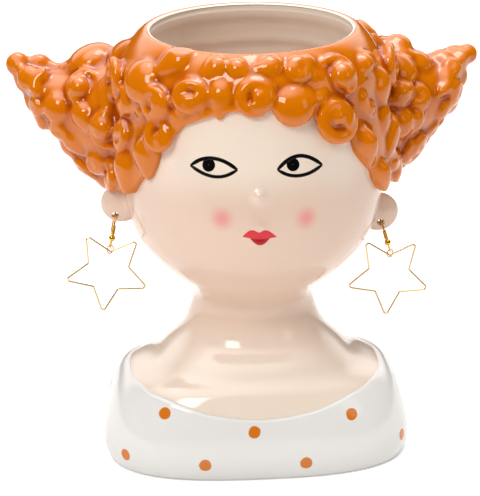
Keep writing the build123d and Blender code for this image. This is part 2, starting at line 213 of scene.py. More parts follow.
def orange_glaze():
    """Orange majolica glaze, brushed on thickly: darker in the creases, where it pools and where painted
    shade deepens it, and wiped off inside the rim.
    """
    material, tree, shader = new_material("orange_majolica_glaze")
    spot = glaze_bump(tree, shader, 9 * mm, 0.12 * mm)
    crease = add(tree, "ShaderNodeAttribute", attribute_name="crease")
    depth = add(tree, "ShaderNodeMapRange", {"Value": crease.outputs["Fac"], "From Min": crease_thin,
        "From Max": crease_thick}, interpolation_type="SMOOTHSTEP")
    cloud = add(tree, "ShaderNodeTexNoise", {"Vector": spot, "Scale": 1 / (6 * mm), "Detail": 2.0})
    thickness = add(tree, "ShaderNodeMath", {0: cloud, 1: orange_clouds}, operation="MULTIPLY")
    # Darker where the glaze pools in the creases, deepened further there as painted shade, and clouded at
    # random.
    pooled_shade_and_clouds = add(tree, "ShaderNodeMath", {0: depth, 1: thickness}, operation="ADD")
    colour = add(tree, "ShaderNodeMix", {"Factor": pooled_shade_and_clouds, "A": linear(orange_crest),
        "B": linear(orange_crease_pool_and_shade)}, data_type="RGBA")
    mouth_share = (2 / (mouth_width * mm), 2 / (mouth_depth * mm), 0.0)
    ring = add(tree, "ShaderNodeVectorMath", {0: spot, 1: mouth_share}, operation="MULTIPLY")
    reach = add(tree, "ShaderNodeVectorMath", {0: ring}, operation="LENGTH")
    edge = add(tree, "ShaderNodeMapRange", {"Value": reach, "From Min": wiped_from, "From Max": wiped_to})
    two = add(tree, "ShaderNodeMix", {"Factor": edge, "A": linear(inside_colour), "B": colour},
        data_type="RGBA")
    fill(tree, shader, {"Base Color": two, "Roughness": orange_roughness, "IOR": gloss_ior})
    return material


hair_glaze = orange_glaze()
print("materials", [m.name for m in bpy.data.materials])

# %% [markdown]
# Lamps and floor. The photograph is a product shot: a white sweep, a softbox high on the left, a large
# one overhead, a weak one on the right and light thrown back up by the white table. The white of the
# background comes from the floor's own material and the world, and not from more light on the pot.

# %% World, floor and lamps
# Light of the room by the way it comes from: axis, where it starts and ends to change, its strength at
# both, and how it changes. Height and depth light the pot. The rest is what only the glaze mirrors: the
# softbox above, which fades to the right, and the lit back wall, which starts above the table.
room_light = {
    "height": ("Z", -0.1, 0.9, 0.4, 0.95, "LINEAR"),
    "depth": ("Y", -0.9, 0.2, 0.42, 1.0, "LINEAR"),
    "above": ("Z", 0.66, 0.9, 0.08, 5.4, "SMOOTHSTEP"),
    "fade": ("X", 0.05, 0.5, 1.0, 0.35, "LINEAR"),
    "behind": ("Y", 0.35, 0.75, 0.0, 3.2, "SMOOTHSTEP"),
    "raised": ("Z", 0.1, 0.32, 0.0, 1.0, "SMOOTHSTEP"),
}
# The paper sweep: half its side in metres, its own glow, and where it is dark and lit towards the pot.
sweep_half = 2.0
sweep_glow = 0.35
sweep_dark = -0.7
sweep_lit = -0.12


def pale_surround(tree):
    """One where the camera, a mirror or glass sees the surface, zero where light only bounces off it."""
    path = add(tree, "ShaderNodeLightPath")
    seen = add(tree, "ShaderNodeMath", {0: path.outputs["Is Camera Ray"], 1: path.outputs["Is Glossy Ray"]},
        operation="MAXIMUM")
    return add(tree, "ShaderNodeMath", {0: seen, 1: path.outputs["Is Transmission Ray"]}, operation="MAXIMUM")


def make_world():
    """White behind the pot. What lights it is brighter above than behind the camera, as in a studio."""
    world = bpy.data.worlds.new("studio")
    bpy.context.scene.world = world
    world.use_nodes = True
    tree = world.node_tree
    tree.nodes.clear()
    way = add(tree, "ShaderNodeSeparateXYZ", {0: add(tree, "ShaderNodeTexCoord").outputs["Generated"]})
    part = {}
    for name, (axis, near, far, low, high, ease) in room_light.items():
        part[name] = add(tree, "ShaderNodeMapRange", {"Value": way.outputs[axis], "From Min": near,
            "From Max": far, "To Min": low, "To Max": high}, interpolation_type=ease)
    path = add(tree, "ShaderNodeLightPath")
    room = add(tree, "ShaderNodeMath", {0: part["height"], 1: part["depth"]}, operation="MULTIPLY")
    soft = add(tree, "ShaderNodeMath", {0: part["above"], 1: part["fade"]}, operation="MULTIPLY")
    lit = add(tree, "ShaderNodeMath", {0: part["behind"], 1: part["raised"]}, operation="MULTIPLY")
    sheen = add(tree, "ShaderNodeMath", {0: soft, 1: lit}, operation="MAXIMUM")
    gloss = add(tree, "ShaderNodeMix", {"Factor": path.outputs["Is Glossy Ray"], "A": 1.0, "B": sheen},
        data_type="FLOAT")
    light = add(tree, "ShaderNodeMath", {0: room, 1: gloss}, operation="MULTIPLY")
    strength = add(tree, "ShaderNodeMix", {"Factor": path.outputs["Is Camera Ray"], "A": light, "B": 1.0},
        data_type="FLOAT")
    ground = add(tree, "ShaderNodeBackground", {"Color": linear("#FFFFFF"), "Strength": strength})
    add(tree, "ShaderNodeOutputWorld", {"Surface": ground})


def make_floor():
    points = [(x * sweep_half, y * sweep_half, 0) for x, y in ((-1, -1), (1, -1), (1, 1), (-1, 1))]
    floor = new_object("floor", mesh_of("floor", points, [(0, 1, 2, 3)]))
    material, tree, shader = new_material("white_paper_sweep")
    fill(tree, shader, {"Base Color": linear("#F4F3F1"), "Roughness": 0.9})
    glow = add(tree, "ShaderNodeEmission", {"Color": linear("#FFFFFF"), "Strength": sweep_glow})
    both = add(tree, "ShaderNodeAddShader", {0: shader, 1: glow})
    seen = add(tree, "ShaderNodeMixShader", {0: pale_surround(tree), 1: shader, 2: both})
    # In front of the table the studio is dark, and the glaze mirrors that: the sweep fades in reflections.
    place = add(tree, "ShaderNodeSeparateXYZ", {0: add(tree, "ShaderNodeTexCoord").outputs["Object"]})
    far = add(tree, "ShaderNodeMapRange", {"Value": place.outputs["Y"], "From Min": sweep_dark,
        "From Max": sweep_lit, "To Min": 1.0, "To Max": 0.0}, interpolation_type="SMOOTHSTEP")
    path = add(tree, "ShaderNodeLightPath")
    dim = add(tree, "ShaderNodeMath", {0: far, 1: path.outputs["Is Glossy Ray"]}, operation="MULTIPLY")
    dark = add(tree, "ShaderNodeBsdfDiffuse", {"Color": linear("#0A0A0A")})
    faded = add(tree, "ShaderNodeMixShader", {0: dim, 1: seen, 2: dark})
    output = next(node for node in tree.nodes if node.type == "OUTPUT_MATERIAL")
    fill(tree, output, {"Surface": faded})
    floor.data.materials.append(material)


def softbox(name, place, aim, width, height, watts):
    """A studio lamp with a rectangular front that points at a spot."""
    data = bpy.data.lights.new(name, "AREA")
    data.shape = "RECTANGLE"
    data.size = width
    data.size_y = height
    data.energy = watts
    lamp = new_object(name, data)
    away = Vector(place) - Vector(aim)
    lamp.matrix_world = Matrix.Translation(place) @ away.to_track_quat("Z", "Y").to_matrix().to_4x4()


make_world()
make_floor()
pot_middle = (0.0, 0.0, 0.12)
# Each lamp's place in metres, its width, height and watts.
softbox("key_left", (-0.65, -0.95, 1.05), pot_middle, 0.5, 0.5, 8.4)
softbox("overhead", (0.1, 0.1, 1.2), pot_middle, 0.6, 0.45, 6.2)
softbox("fill_right", (1.0, -0.8, 0.6), pot_middle, 0.35, 0.6, 0.9)

# %% [markdown]
# The body of the pot. A slip-cast pot is a stack of smooth level outlines, so its surface is drawn from
# the same few rows as the solid: each row gives a height, a width, a depth, how far it sits back and how
# square it is. A natural cubic spline runs through the rows, which keeps the shoulder, the neck and the
# chin as soft as plaster moulds make them.

# %% Driving sizes, shared with the solids
pot_height = 204.0
wall = 5.0
floor_thickness = 8.0
base_width = 143.6
base_depth = 103.0
shoulder_height = 45.0
neck_height = 75.0
neck_width = 56.0
neck_depth = 57.0
neck_setback = 5.0
head_width = 122.0
head_depth = 124.0
rim_lip = 3.5
dress_thickness = 1.3
cap_thickness = 3.2

# Rows: height share, width share, depth share, setback share, squareness.
bust_shares = [
    (0.0, 0.975, 0.962, 0.0, 2.8),
    (0.09, 0.998, 0.998, 0.0, 2.8),
    (0.33, 1.0, 1.0, 0.0, 2.8),
    (0.62, 0.957, 0.961, 0.1, 2.7),
    (0.845, 0.882, 0.893, 0.2, 2.55),
    (1.0, 0.675, 0.796, 0.4, 2.4),
]
neck_shares = [
    (0.17, 1.49, 1.3, 0.6, 2.3),
    (0.33, 1.307, 1.158, 0.8, 2.15),
    (0.53, 1.15, 1.053, 0.9, 2.05),
    (0.77, 1.05, 1.01, 1.0, 2.0),
    (1.0, 1.0, 1.0, 1.0, 2.0),
]
head_shares = [
    (0.054, 0.53, 0.548, 0.8, 2.0),
    (0.116, 0.67, 0.694, 0.4, 2.0),
    (0.178, 0.789, 0.806, 0.0, 2.0),
    (0.24, 0.879, 0.887, -0.2, 2.0),
    (0.318, 0.951, 0.952, -0.2, 2.0),
    (0.426, 0.992, 0.992, -0.2, 2.0),
    (0.543, 1.0, 1.0, 0.0, 2.0),
    (0.659, 0.975, 0.976, 0.0, 2.0),
    (0.775, 0.934, 0.935, 0.0, 2.0),
    (0.891, 0.885, 0.871, 0.0, 2.0),
]


def rows_between(shares, low, high, width, depth):
    """Rows in millimetres, from shares of a stretch of the height and of a width and a depth."""
    return [(low + up * (high - low), wide * width / 2, deep * depth / 2, back * neck_setback, square)
            for up, wide, deep, back, square in shares]


pot_rows = rows_between(bust_shares, 0, shoulder_height, base_width, base_depth)
pot_rows += rows_between(neck_shares, shoulder_height, neck_height, neck_width, neck_depth)
pot_rows += rows_between(head_shares, neck_height, pot_height, head_width, head_depth)
pot_rows.append((pot_height - rim_lip, mouth_width / 2 + wall, mouth_depth / 2 + wall, 0.0, 2.0))
pot_rows = np.array(pot_rows)


def natural_spline(knots, values, at):
    """A natural cubic spline through columns of values, read at new knots."""
    count = len(knots)
    gaps = np.diff(knots)
    slopes = np.diff(values, axis=0) / gaps[:, None]
    system = np.eye(count)
    right = np.zeros_like(values)
    for i in range(1, count - 1):
        system[i, i - 1:i + 2] = gaps[i - 1], 2 * (gaps[i - 1] + gaps[i]), gaps[i]
        right[i] = 6 * (slopes[i] - slopes[i - 1])
    bend = np.linalg.solve(system, right)
    spot = np.clip(np.searchsorted(knots, at, side="right") - 1, 0, count - 2)
    gap = gaps[spot][:, None]
    before = (at - knots[spot])[:, None]
    after = gap - before
    return (bend[spot] * after ** 3 / (6 * gap) + bend[spot + 1] * before ** 3 / (6 * gap)
            + (values[spot] / gap - bend[spot] * gap / 6) * after
            + (values[spot + 1] / gap - bend[spot + 1] * gap / 6) * before)


def smooth_rows(rows, count):
    """Rows spread evenly along the side outline, on a spline through the given ones."""
    length = np.concatenate([[0], np.cumsum(np.hypot(np.diff(rows[:, 0]), np.diff(rows[:, 1])))])
    return natural_spline(length, rows, np.linspace(0, length[-1], count))


def radius_at(row, bearing):
    """Distance from a row's centre to its outline, at bearings in radians from the face."""
    return ((np.abs(np.sin(bearing)) / row[1]) ** row[4]
            + (np.abs(np.cos(bearing)) / row[2]) ** row[4]) ** (-1 / row[4])


def ring_points(row, bearings, grow=0.0):
    """Points of one level outline in metres, moved out by a distance in millimetres."""
    radius = radius_at(row, bearings) + grow
    return np.stack([radius * np.sin(bearings), row[3] - radius * np.cos(bearings),
        np.full_like(bearings, row[0])], -1) * mm


def row_at(rows, heights):
    """The five columns of a table of rows, read at a height or at several."""
    return [np.interp(heights, rows[:, 0], rows[:, k]) for k in range(5)]


def grid_faces(rows, columns, first=0):
    """Faces of a grid whose rows run up and whose columns run round."""
    faces = []
    for r in range(rows - 1):
        for c in range(columns):
            d = (c + 1) % columns
            a = first + r * columns
            faces.append((a + c, a + d, a + columns + d, a + columns + c))
    return faces


def loop_faces(rows, columns):
    """Faces of such a grid whose last row joins its first one."""
    return [tuple(i % (rows * columns) for i in face) for face in grid_faces(rows + 1, columns)]


def pole_faces(low, high, first, last, columns):
    """Triangles that close a grid: from two poles to where its first and its last row start."""
    faces = []
    for c in range(columns):
        d = (c + 1) % columns
        faces += [(low, first + d, first + c), (high, last + c, last + d)]
    return faces


# The face needs finer columns than the back, so the bearings crowd towards it.
columns = 260
crowding = 0.55
turn_share = np.linspace(-math.pi, math.pi, columns, endpoint=False)
bearings = turn_share - crowding * np.sin(turn_share)
skin_rows = pot_rows.copy()
skin_rows[skin_rows[:, 0] <= shoulder_height, 1:3] -= dress_thickness
fine_skin = smooth_rows(skin_rows, 250)
# Plaster moulds have no ripples: the rows from chest to chin, in millimetres, are evened out.
even_from = 27
even_to = 88
even_fade = 8
even_rounds = 18
heights = fine_skin[:, :1]
bust_part = np.clip((heights - even_from) / even_fade, 0, 1) * np.clip((even_to - heights) / even_fade, 0, 1)
even = fine_skin.copy()
for _ in range(even_rounds):
    even[1:-1] = (even[:-2] + 2 * even[1:-1] + even[2:]) / 4
fine_skin = fine_skin + (even - fine_skin) * bust_part
print("skin rows", len(fine_skin), "columns", columns)

# %% [markdown]
# The face is moulded very simply: a button nose and two low lips on an egg-smooth front. They are small
# swells of the same surface, so they are added to the grid as smooth bumps before the mesh is made.

# %% Face relief
swell_fall = 1.2
swells = [
    # across, height, half width, half height, rise: the nose, then the two lips and the fold over them
    (-2.3, 142.8, 3.0, 3.0, 2.7),
    (-2.4, 125.0, 7.0, 2.6, 0.9),
    (-2.3, 120.6, 4.4, 2.4, 1.3),
    (-2.3, 128.8, 3.6, 2.6, 1.1),
]


def face_swell(points):
    """How far each point of the face stands out, in millimetres."""
    x = points[:, 0] / mm
    z = points[:, 2] / mm
    rise = np.zeros(len(points))
    for across, height, half_width, half_height, lift in swells:
        away = ((x - across) / half_width) ** 2 + ((z - height) / half_height) ** 2
        rise += lift * np.exp(-swell_fall * away)
    return np.where(points[:, 1] < 0, rise, 0.0)


# The ridge inside: its height, its waves (number round, rise, shift) and its folds (drop, rise, breadth).
ridge_height = 188
ridge_waves = [(1, 4.5, 2.2), (3, 1.5, 0.0)]
ridge_folds = [(0, 1.1, 2.6), (9, 0.5, 3.5)]
# The lip's inner side, down from the rim and out from the mouth, and how the inner wall is evened out.
lip_profile = [(1.0, 1.6), (0.6, 0.5), (0.9, -0.15)] + [(drop, -0.15) for drop in range(3, 9)]
even_rows = 13
even_after = 3
even_over = 8


def inside_ridge(points):
    """A low wavy ridge round the inside below the mouth, where the slip ran as the mould was emptied."""
    turn = np.arctan2(points[:, 0], -points[:, 1])
    crest = ridge_height
    for waves, rise, shift in ridge_waves:
        crest = crest + rise * np.sin(waves * turn + shift)
    lift = 0
    for drop, rise, breadth in ridge_folds:
        lift = lift + rise * np.exp(-((points[:, 2] - crest * mm + drop * mm) / (breadth * mm)) ** 2)
    narrower = 1 - lift * mm / np.hypot(points[:, 0], points[:, 1])
    return points * np.stack([narrower, narrower, np.ones(len(points))], -1)


def make_pot():
    """The pot: outer skin from foot to rim, and the hollow inside, as one closed shell."""
    outer = np.concatenate([ring_points(row, bearings) for row in fine_skin])
    outer[:, 1] -= face_swell(outer) * mm
    half_width = mouth_width / 2
    half_depth = mouth_depth / 2
    inner_rows = [[pot_height - drop, half_width + out, half_depth + out, 0, 2] for drop, out in lip_profile]
    for low, row, high in zip(fine_skin[:-6:2], fine_skin[3:-3:2], fine_skin[6::2]):
        climb = high[0] - low[0]
        spread = high[1] - low[1]
        inward = wall * climb / math.hypot(climb, spread)
        height = row[0] + wall * spread / math.hypot(climb, spread)
        if floor_thickness + 2 < height < pot_height - rim_lip - wall:
            inner_rows.append([height, row[1] - inward, row[2] - inward, row[3], row[4]])
    inner_rows = np.array(sorted(inner_rows, key=lambda r: -r[0]))
    for k in (1, 2):
        padded = np.pad(inner_rows[:, k], even_rows // 2, "edge")
        even = np.convolve(padded, np.ones(even_rows) / even_rows, "valid")
        blend = np.clip((np.arange(len(even)) - even_after) / even_over, 0, 1)
        inner_rows[:, k] += (even - inner_rows[:, k]) * blend
    low = inner_rows[-1]
    corner = [floor_thickness, low[1] - wall, low[2] - wall, low[3], low[4]]
    inner = np.concatenate([ring_points(row, bearings) for row in np.vstack([inner_rows, [corner]])])
    inner = inside_ridge(inner)
    points = np.concatenate([outer, inner, [[0, 0, 0]], [[0, 0, floor_thickness * mm]]])
    count = len(fine_skin) + len(inner_rows) + 1
    faces = grid_faces(count, columns)
    faces += pole_faces(len(points) - 2, len(points) - 1, 0, (count - 1) * columns, columns)
    return new_object("pot_body", mesh_of("pot_body", points, faces))


pot = make_pot()
print("pot faces", len(pot.data.polygons))

# %% Cream glaze with blush and painted shade
cheeks = [(-18.9, -59.4, 131.7), (19.2, -59.3, 130.6)]
blush_from = 0.5
blush_to = 7.4
blush_strength = 0.9
# Painted shade: the deeper, rosier zone of the glaze sets in and ends between these heights.
lower_shade_from = (48, 75)
lower_shade_to = (132, 158)


def cream_glaze():
    """Glossy cream glaze with painted shade, deeper and rosier from the cheeks to the neck, and two spots of
    pink blush under it.
    """
    material, tree, shader = new_material("cream_glaze_with_blush_and_painted_shade")
    spot = glaze_bump(tree, shader, 26 * mm, 0.22 * mm)
    place = add(tree, "ShaderNodeSeparateXYZ", {0: spot})
    low = add(tree, "ShaderNodeMapRange", {"Value": place.outputs["Z"], "From Min": lower_shade_from[0] * mm,
        "From Max": lower_shade_from[1] * mm}, interpolation_type="SMOOTHSTEP")
    high = add(tree, "ShaderNodeMapRange", {"Value": place.outputs["Z"], "From Min": lower_shade_to[0] * mm,
        "From Max": lower_shade_to[1] * mm, "To Min": 1.0, "To Max": 0.0}, interpolation_type="SMOOTHSTEP")
    # Painted shade: the glaze is deeper and rosier from the neck to the cheeks.
    lower_shade = add(tree, "ShaderNodeMath", {0: low, 1: high}, operation="MULTIPLY")
    colour = add(tree, "ShaderNodeMix", {"Factor": lower_shade, "A": linear(cream_colour),
        "B": linear(lower_shade_colour)}, data_type="RGBA")
    for cheek in cheeks:
        middle = [v * mm for v in cheek]
        away = add(tree, "ShaderNodeVectorMath", {0: spot, 1: middle}, operation="DISTANCE")
        soft = add(tree, "ShaderNodeMapRange", {"Value": away.outputs["Value"],
            "From Min": blush_from * mm, "From Max": blush_to * mm, "To Min": blush_strength,
            "To Max": 0.0}, interpolation_type="SMOOTHSTEP")
        colour = add(tree, "ShaderNodeMix", {"Factor": soft, "A": colour, "B": linear(blush_colour)},
            data_type="RGBA")
    fill(tree, shader, {"Base Color": colour, "Roughness": gloss_roughness, "IOR": gloss_ior})
    return material


cream = cream_glaze()
pot.data.materials.append(cream)
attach(pot, "planter")
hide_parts("vessel")

# %% [markdown]
# The dress is a raised layer of the same casting, a little over a millimetre proud, with a soft rolled
# edge at the low neckline. It is a closed shell: an outer sheet from foot to neckline that curls over
# at its upper edge, and an inner sheet sunk just under the skin.

# %% Dress
# The rows crowd towards the neckline, where the edge rolls over within some thicknesses of the layer.
dress_rows = 60
row_crowding = 1.6
edge_roll = 1.6
edge_sunk = 0.15
dress_depth = 0.8
neckline_rounds = 12
foot_line = 1.0
neckline_front = 29.0
neckline_side = 41.0
neckline_shares = np.array([(0.0, 0.0), (0.14, 0.05), (0.35, 0.24), (0.57, 0.62), (0.73, 0.83), (0.9, 1.0),
                            (1.2, 1.05)])


def neckline_at(x):
    """Height of the neckline at a distance from the middle, in millimetres."""
    share = np.interp(np.abs(x) / (base_width / 2), neckline_shares[:, 0], neckline_shares[:, 1])
    return neckline_front + share * (neckline_side - neckline_front)


def surface_column(rows, bearing, heights, grow):
    """Points of the surface on one bearing, at several heights, moved out square to the side outline."""
    line = np.stack(row_at(rows, heights), -1)
    radius = np.array([radius_at(row, bearing) for row in line])
    slope = np.gradient(radius, heights)
    length = np.sqrt(1 + slope ** 2)
    radius = radius + grow / length
    height = heights - grow * slope / length
    return np.stack([radius * math.sin(bearing), line[:, 3] - radius * math.cos(bearing), height], -1) * mm


def make_dress():
    share = 1 - (1 - np.linspace(0, 1, dress_rows)) ** row_crowding
    outside = []
    inside = []
    for bearing in turn_share:
        top = neckline_side
        for _ in range(neckline_rounds):
            across = radius_at(row_at(fine_skin, top), bearing) * math.sin(bearing)
            top = (top + neckline_at(across)) / 2
        heights = foot_line + share * (top - foot_line)
        left = np.clip((top - heights) / (edge_roll * dress_thickness), 0, 1)
        roll = np.sqrt(np.clip(1 - (1 - left) ** 2, 0, 1))
        grow = -edge_sunk + (dress_thickness + edge_sunk) * roll
        outside.append(surface_column(fine_skin, bearing, heights, grow))
        inside.append(surface_column(fine_skin, bearing, heights, np.full(dress_rows, -dress_depth)))
    outer = np.array(outside).transpose(1, 0, 2).reshape(-1, 3)
    inner = np.array(inside).transpose(1, 0, 2)[::-1].reshape(-1, 3)
    points = np.concatenate([outer, inner])
    return new_object("dress_layer", mesh_of("dress_layer", points, loop_faces(2 * dress_rows, columns)))


dots = [(-68.1, 5.2, 29.1), (-45.0, -40.4, 31.3), (-63.1, -33.5, 8.8), (-27.3, -50.2, 8.7),
        (-4.3, -49.8, 24.0), (19.5, -51.0, 8.2), (41.6, -43.5, 28.6), (66.8, -28.0, 11.1),
        (68.5, 8.0, 28.0), (69.0, 20.0, 9.0), (52.0, 41.0, 30.0), (34.0, 49.5, 10.0),
        (10.0, 49.0, 25.0), (-14.0, 51.0, 9.0), (-38.0, 45.5, 27.0), (-60.0, 38.0, 10.0),
        (-71.0, 2.0, 8.0)]
# Radius at which a dot starts and ends to fade, and how far its edge wobbles.
dot_inner = 3.0
dot_outer = 3.45
dot_wobble = 0.7


def white_glaze():
    """Glossy white glaze with hand-dabbed orange dots, each about 6 mm across."""
    material, tree, shader = new_material("white_glaze_with_orange_dots")
    spot = glaze_bump(tree, shader, 30 * mm, 0.2 * mm)
    wobble = add(tree, "ShaderNodeTexNoise", {"Vector": spot, "Scale": 1 / (4 * mm), "Detail": 1.0})
    nearest = None
    for place in dots:
        away = add(tree, "ShaderNodeVectorMath", {0: spot, 1: [v * mm for v in place]},
                   operation="DISTANCE").outputs["Value"]
        if nearest is None:
            nearest = away
        else:
            nearest = add(tree, "ShaderNodeMath", {0: nearest, 1: away}, operation="MINIMUM")
    uneven = add(tree, "ShaderNodeMath", {0: wobble, 1: dot_wobble * mm, 2: nearest},
        operation="MULTIPLY_ADD")
    edge = add(tree, "ShaderNodeMapRange", {"Value": uneven, "From Min": dot_inner * mm,
        "From Max": dot_outer * mm, "To Min": 1.0, "To Max": 0.0}, interpolation_type="SMOOTHSTEP")
    colour = add(tree, "ShaderNodeMix", {"Factor": edge, "A": linear(white_colour),
        "B": linear(dot_colour)}, data_type="RGBA")
    fill(tree, shader, {"Base Color": colour, "Roughness": gloss_roughness, "IOR": gloss_ior})
    return material


dress = make_dress()
dress.data.materials.append(white_glaze())
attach(dress, "planter")
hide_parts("dress")
print("dress faces", len(dress.data.polygons))

# %% [markdown]
# The hair is the showpiece: fat, soft curls, moulded in relief and drowned in orange glaze. Under them is
# a smooth cap with an arched hairline and a broad plain collar round the mouth, and on each side a horn
# of piled curls. The cap and the horns are drawn first, because the curls sit on them.

# %% Hair: cap and horns
hairline = np.array([(0, 182.0), (18, 180.3), (35, 172.7), (47, 158.8), (57, 144.0), (66, 134.0),
                     (80, 130.5), (100, 129.0), (120, 125.0), (180, 124.0)])
cap_shares = [(0.93, 0.98, 0.945), (0.956, 0.942, 0.9), (0.976, 0.896, 0.852), (0.99, 0.852, 0.805)]
collar_width = 99.0
collar_depth = 93.0
cap_from = 110.0
rim_drop = 0.1
cap_rows = [row + np.array([0, cap_thickness, cap_thickness, 0, 0]) for row in pot_rows
            if cap_from < row[0] < cap_shares[0][0] * pot_height - cap_thickness]
for up, wide, deep in cap_shares:
    cap_rows.append(np.array([up * pot_height, wide * head_width / 2, deep * head_depth / 2, 0, 2]))
cap_rows.append(np.array([pot_height - rim_drop, collar_width / 2, collar_depth / 2, 0, 2]))
fine_cap = smooth_rows(np.array(cap_rows), 120)
# How deep and how high the hair reaches in the pot's wall, the grid of the cap, and how far the cap swells
# out, which is less over the brow and ends below the rim.
core_depth = 1.2
core_top = 199.0
cap_columns = 240
cap_rings = 70
core_rings = 20
cap_puff = 1.4
brow_cut = 3.2
plain_above = 194.0
# Heights over which the swelling fades out below the rim and sets in above the hairline.
puff_out = 6
puff_in = 5
rim_profile = [(1.2, 0.0), (2.6, 0.5), (3.0, 1.6), (3.0, 4.6)]


def hairline_at(bearing):
    """Height of the hairline at a bearing in radians from the face."""
    return np.interp(abs(math.degrees(math.remainder(bearing, 2 * math.pi))), hairline[:, 0], hairline[:, 1])


def make_cap():
    """The smooth cap: outside from hairline to rim, over the rim, and back inside the pot's wall."""
    around = np.linspace(-math.pi, math.pi, cap_columns, endpoint=False)
    share = np.linspace(0, 1, cap_rings)
    sheets = []
    for bearing in around:
        low = hairline_at(bearing)
        heights = low + share * (pot_height - rim_drop - low)
        brow = max(0.0, math.cos(bearing)) ** 4
        puff = (cap_puff - brow_cut * brow) * np.clip((plain_above - heights) / puff_out, 0, 1)
        puff *= np.clip((heights - low) / puff_in, 0, 1)
        outer = surface_column(fine_cap, bearing, heights, puff)
        rim = []
        for inward, drop in rim_profile:
            row = [pot_height - drop, collar_width / 2 - inward, collar_depth / 2 - inward, 0, 2]
            rim.append(ring_points(row, np.array([bearing]))[0])
        heights = np.linspace(low + 1.0, core_top, core_rings)
        inner = surface_column(fine_skin, bearing, heights, np.full(core_rings, -core_depth))[::-1]
        foot = np.array([low, low + 1.0])
        start = surface_column(fine_skin, bearing, foot, np.full(2, -core_depth))[:1]
        sheets.append(np.concatenate([start, outer, rim, inner]))
    grid = np.array(sheets).transpose(1, 0, 2)
    return new_object("cap", mesh_of("cap", grid.reshape(-1, 3), loop_faces(len(grid), cap_columns)))


bun_shares = [(0.0, 0.0, 0.74), (0.26, 0.0, 0.94), (0.43, 0.02, 0.93), (0.55, 0.1, 0.76), (0.66, 0.19, 0.6),
              (0.77, 0.32, 0.48), (0.86, 0.5, 0.36), (0.93, 0.76, 0.21), (0.97, 0.92, 0.15),
              (1.02, 1.0, 0.12)]
horn_rings = 40
horn_columns = 64
bun_root = 40.0
bun_root_height = 157.0
bun_root_radius = 31.0
bun_setback = 30.0
bun_root_setback = 14.0
bun_ends = {"left": (-1, 108.8, 181.5), "right": (1, 105.8, 179.5)}


def bun_axis(side, reach, tip_height, share, rise):
    """A point of a bun's axis in millimetres, at a share of its length and a share of its rise."""
    return (side * (bun_root + share * (reach - bun_root)),
            bun_root_setback + share * (bun_setback - bun_root_setback),
            bun_root_height + rise * (tip_height - bun_root_height))


def capped(rings):
    """Points and faces of a tube through rings of points, closed at both ends."""
    count = len(rings[0])
    points = np.concatenate(rings)
    faces = grid_faces(len(rings), count)
    faces.append(tuple(range(count - 1, -1, -1)))
    faces.append(tuple(range(len(points) - count, len(points))))
    return points, faces


def make_horn(side, reach, tip_height):
    """The plain horn under a bun's curls, round in section, from inside the head to the tip."""
    table = natural_spline(np.array(bun_shares)[:, 0], np.array(bun_shares), np.linspace(0, 1, horn_rings))
    turns = side * np.linspace(0, 2 * math.pi, horn_columns, endpoint=False)
    rings = []
    for share, rise, size in table:
        x, y, z = bun_axis(side, reach, tip_height, share, rise)
        radius = max(size, 0.05) * bun_root_radius
        ring = [np.full(horn_columns, x), y + radius * np.cos(turns), z + radius * np.sin(turns)]
        rings.append(np.stack(ring, -1) * mm)
    return new_object("horn", mesh_of("horn", *capped(rings)))


cap = make_cap()
horns = {name: make_horn(*ends) for name, ends in bun_ends.items()}


def joined(name, objects):
    """One mesh from several, which are then removed."""
    points = []
    faces = []
    for obj in objects:
        first = len(points)
        points += [tuple(v.co) for v in obj.data.vertices]
        faces += [[first + i for i in p.vertices] for p in obj.data.polygons]
        bpy.data.objects.remove(obj)
    return new_object(name, mesh_of(name, points, faces))


def surface_of(obj):
    """An object's faces, to send rays at."""
    return BVHTree.FromPolygons([v.co for v in obj.data.vertices], [p.vertices for p in obj.data.polygons])


under_hair = joined("under_hair", [cap] + list(horns.values()))
seat = surface_of(under_hair)
print("under the curls", len(under_hair.data.polygons), "faces")

# %% [markdown]
# Where the curls go. Each curl of the face side is written as its place on the photograph: the pixel of
# its middle, its radius in pixels, its kind, and the way its strand sets off, clockwise from up. A ray
# from the camera finds the hair under that pixel, so the curl sits on the head, square to it.

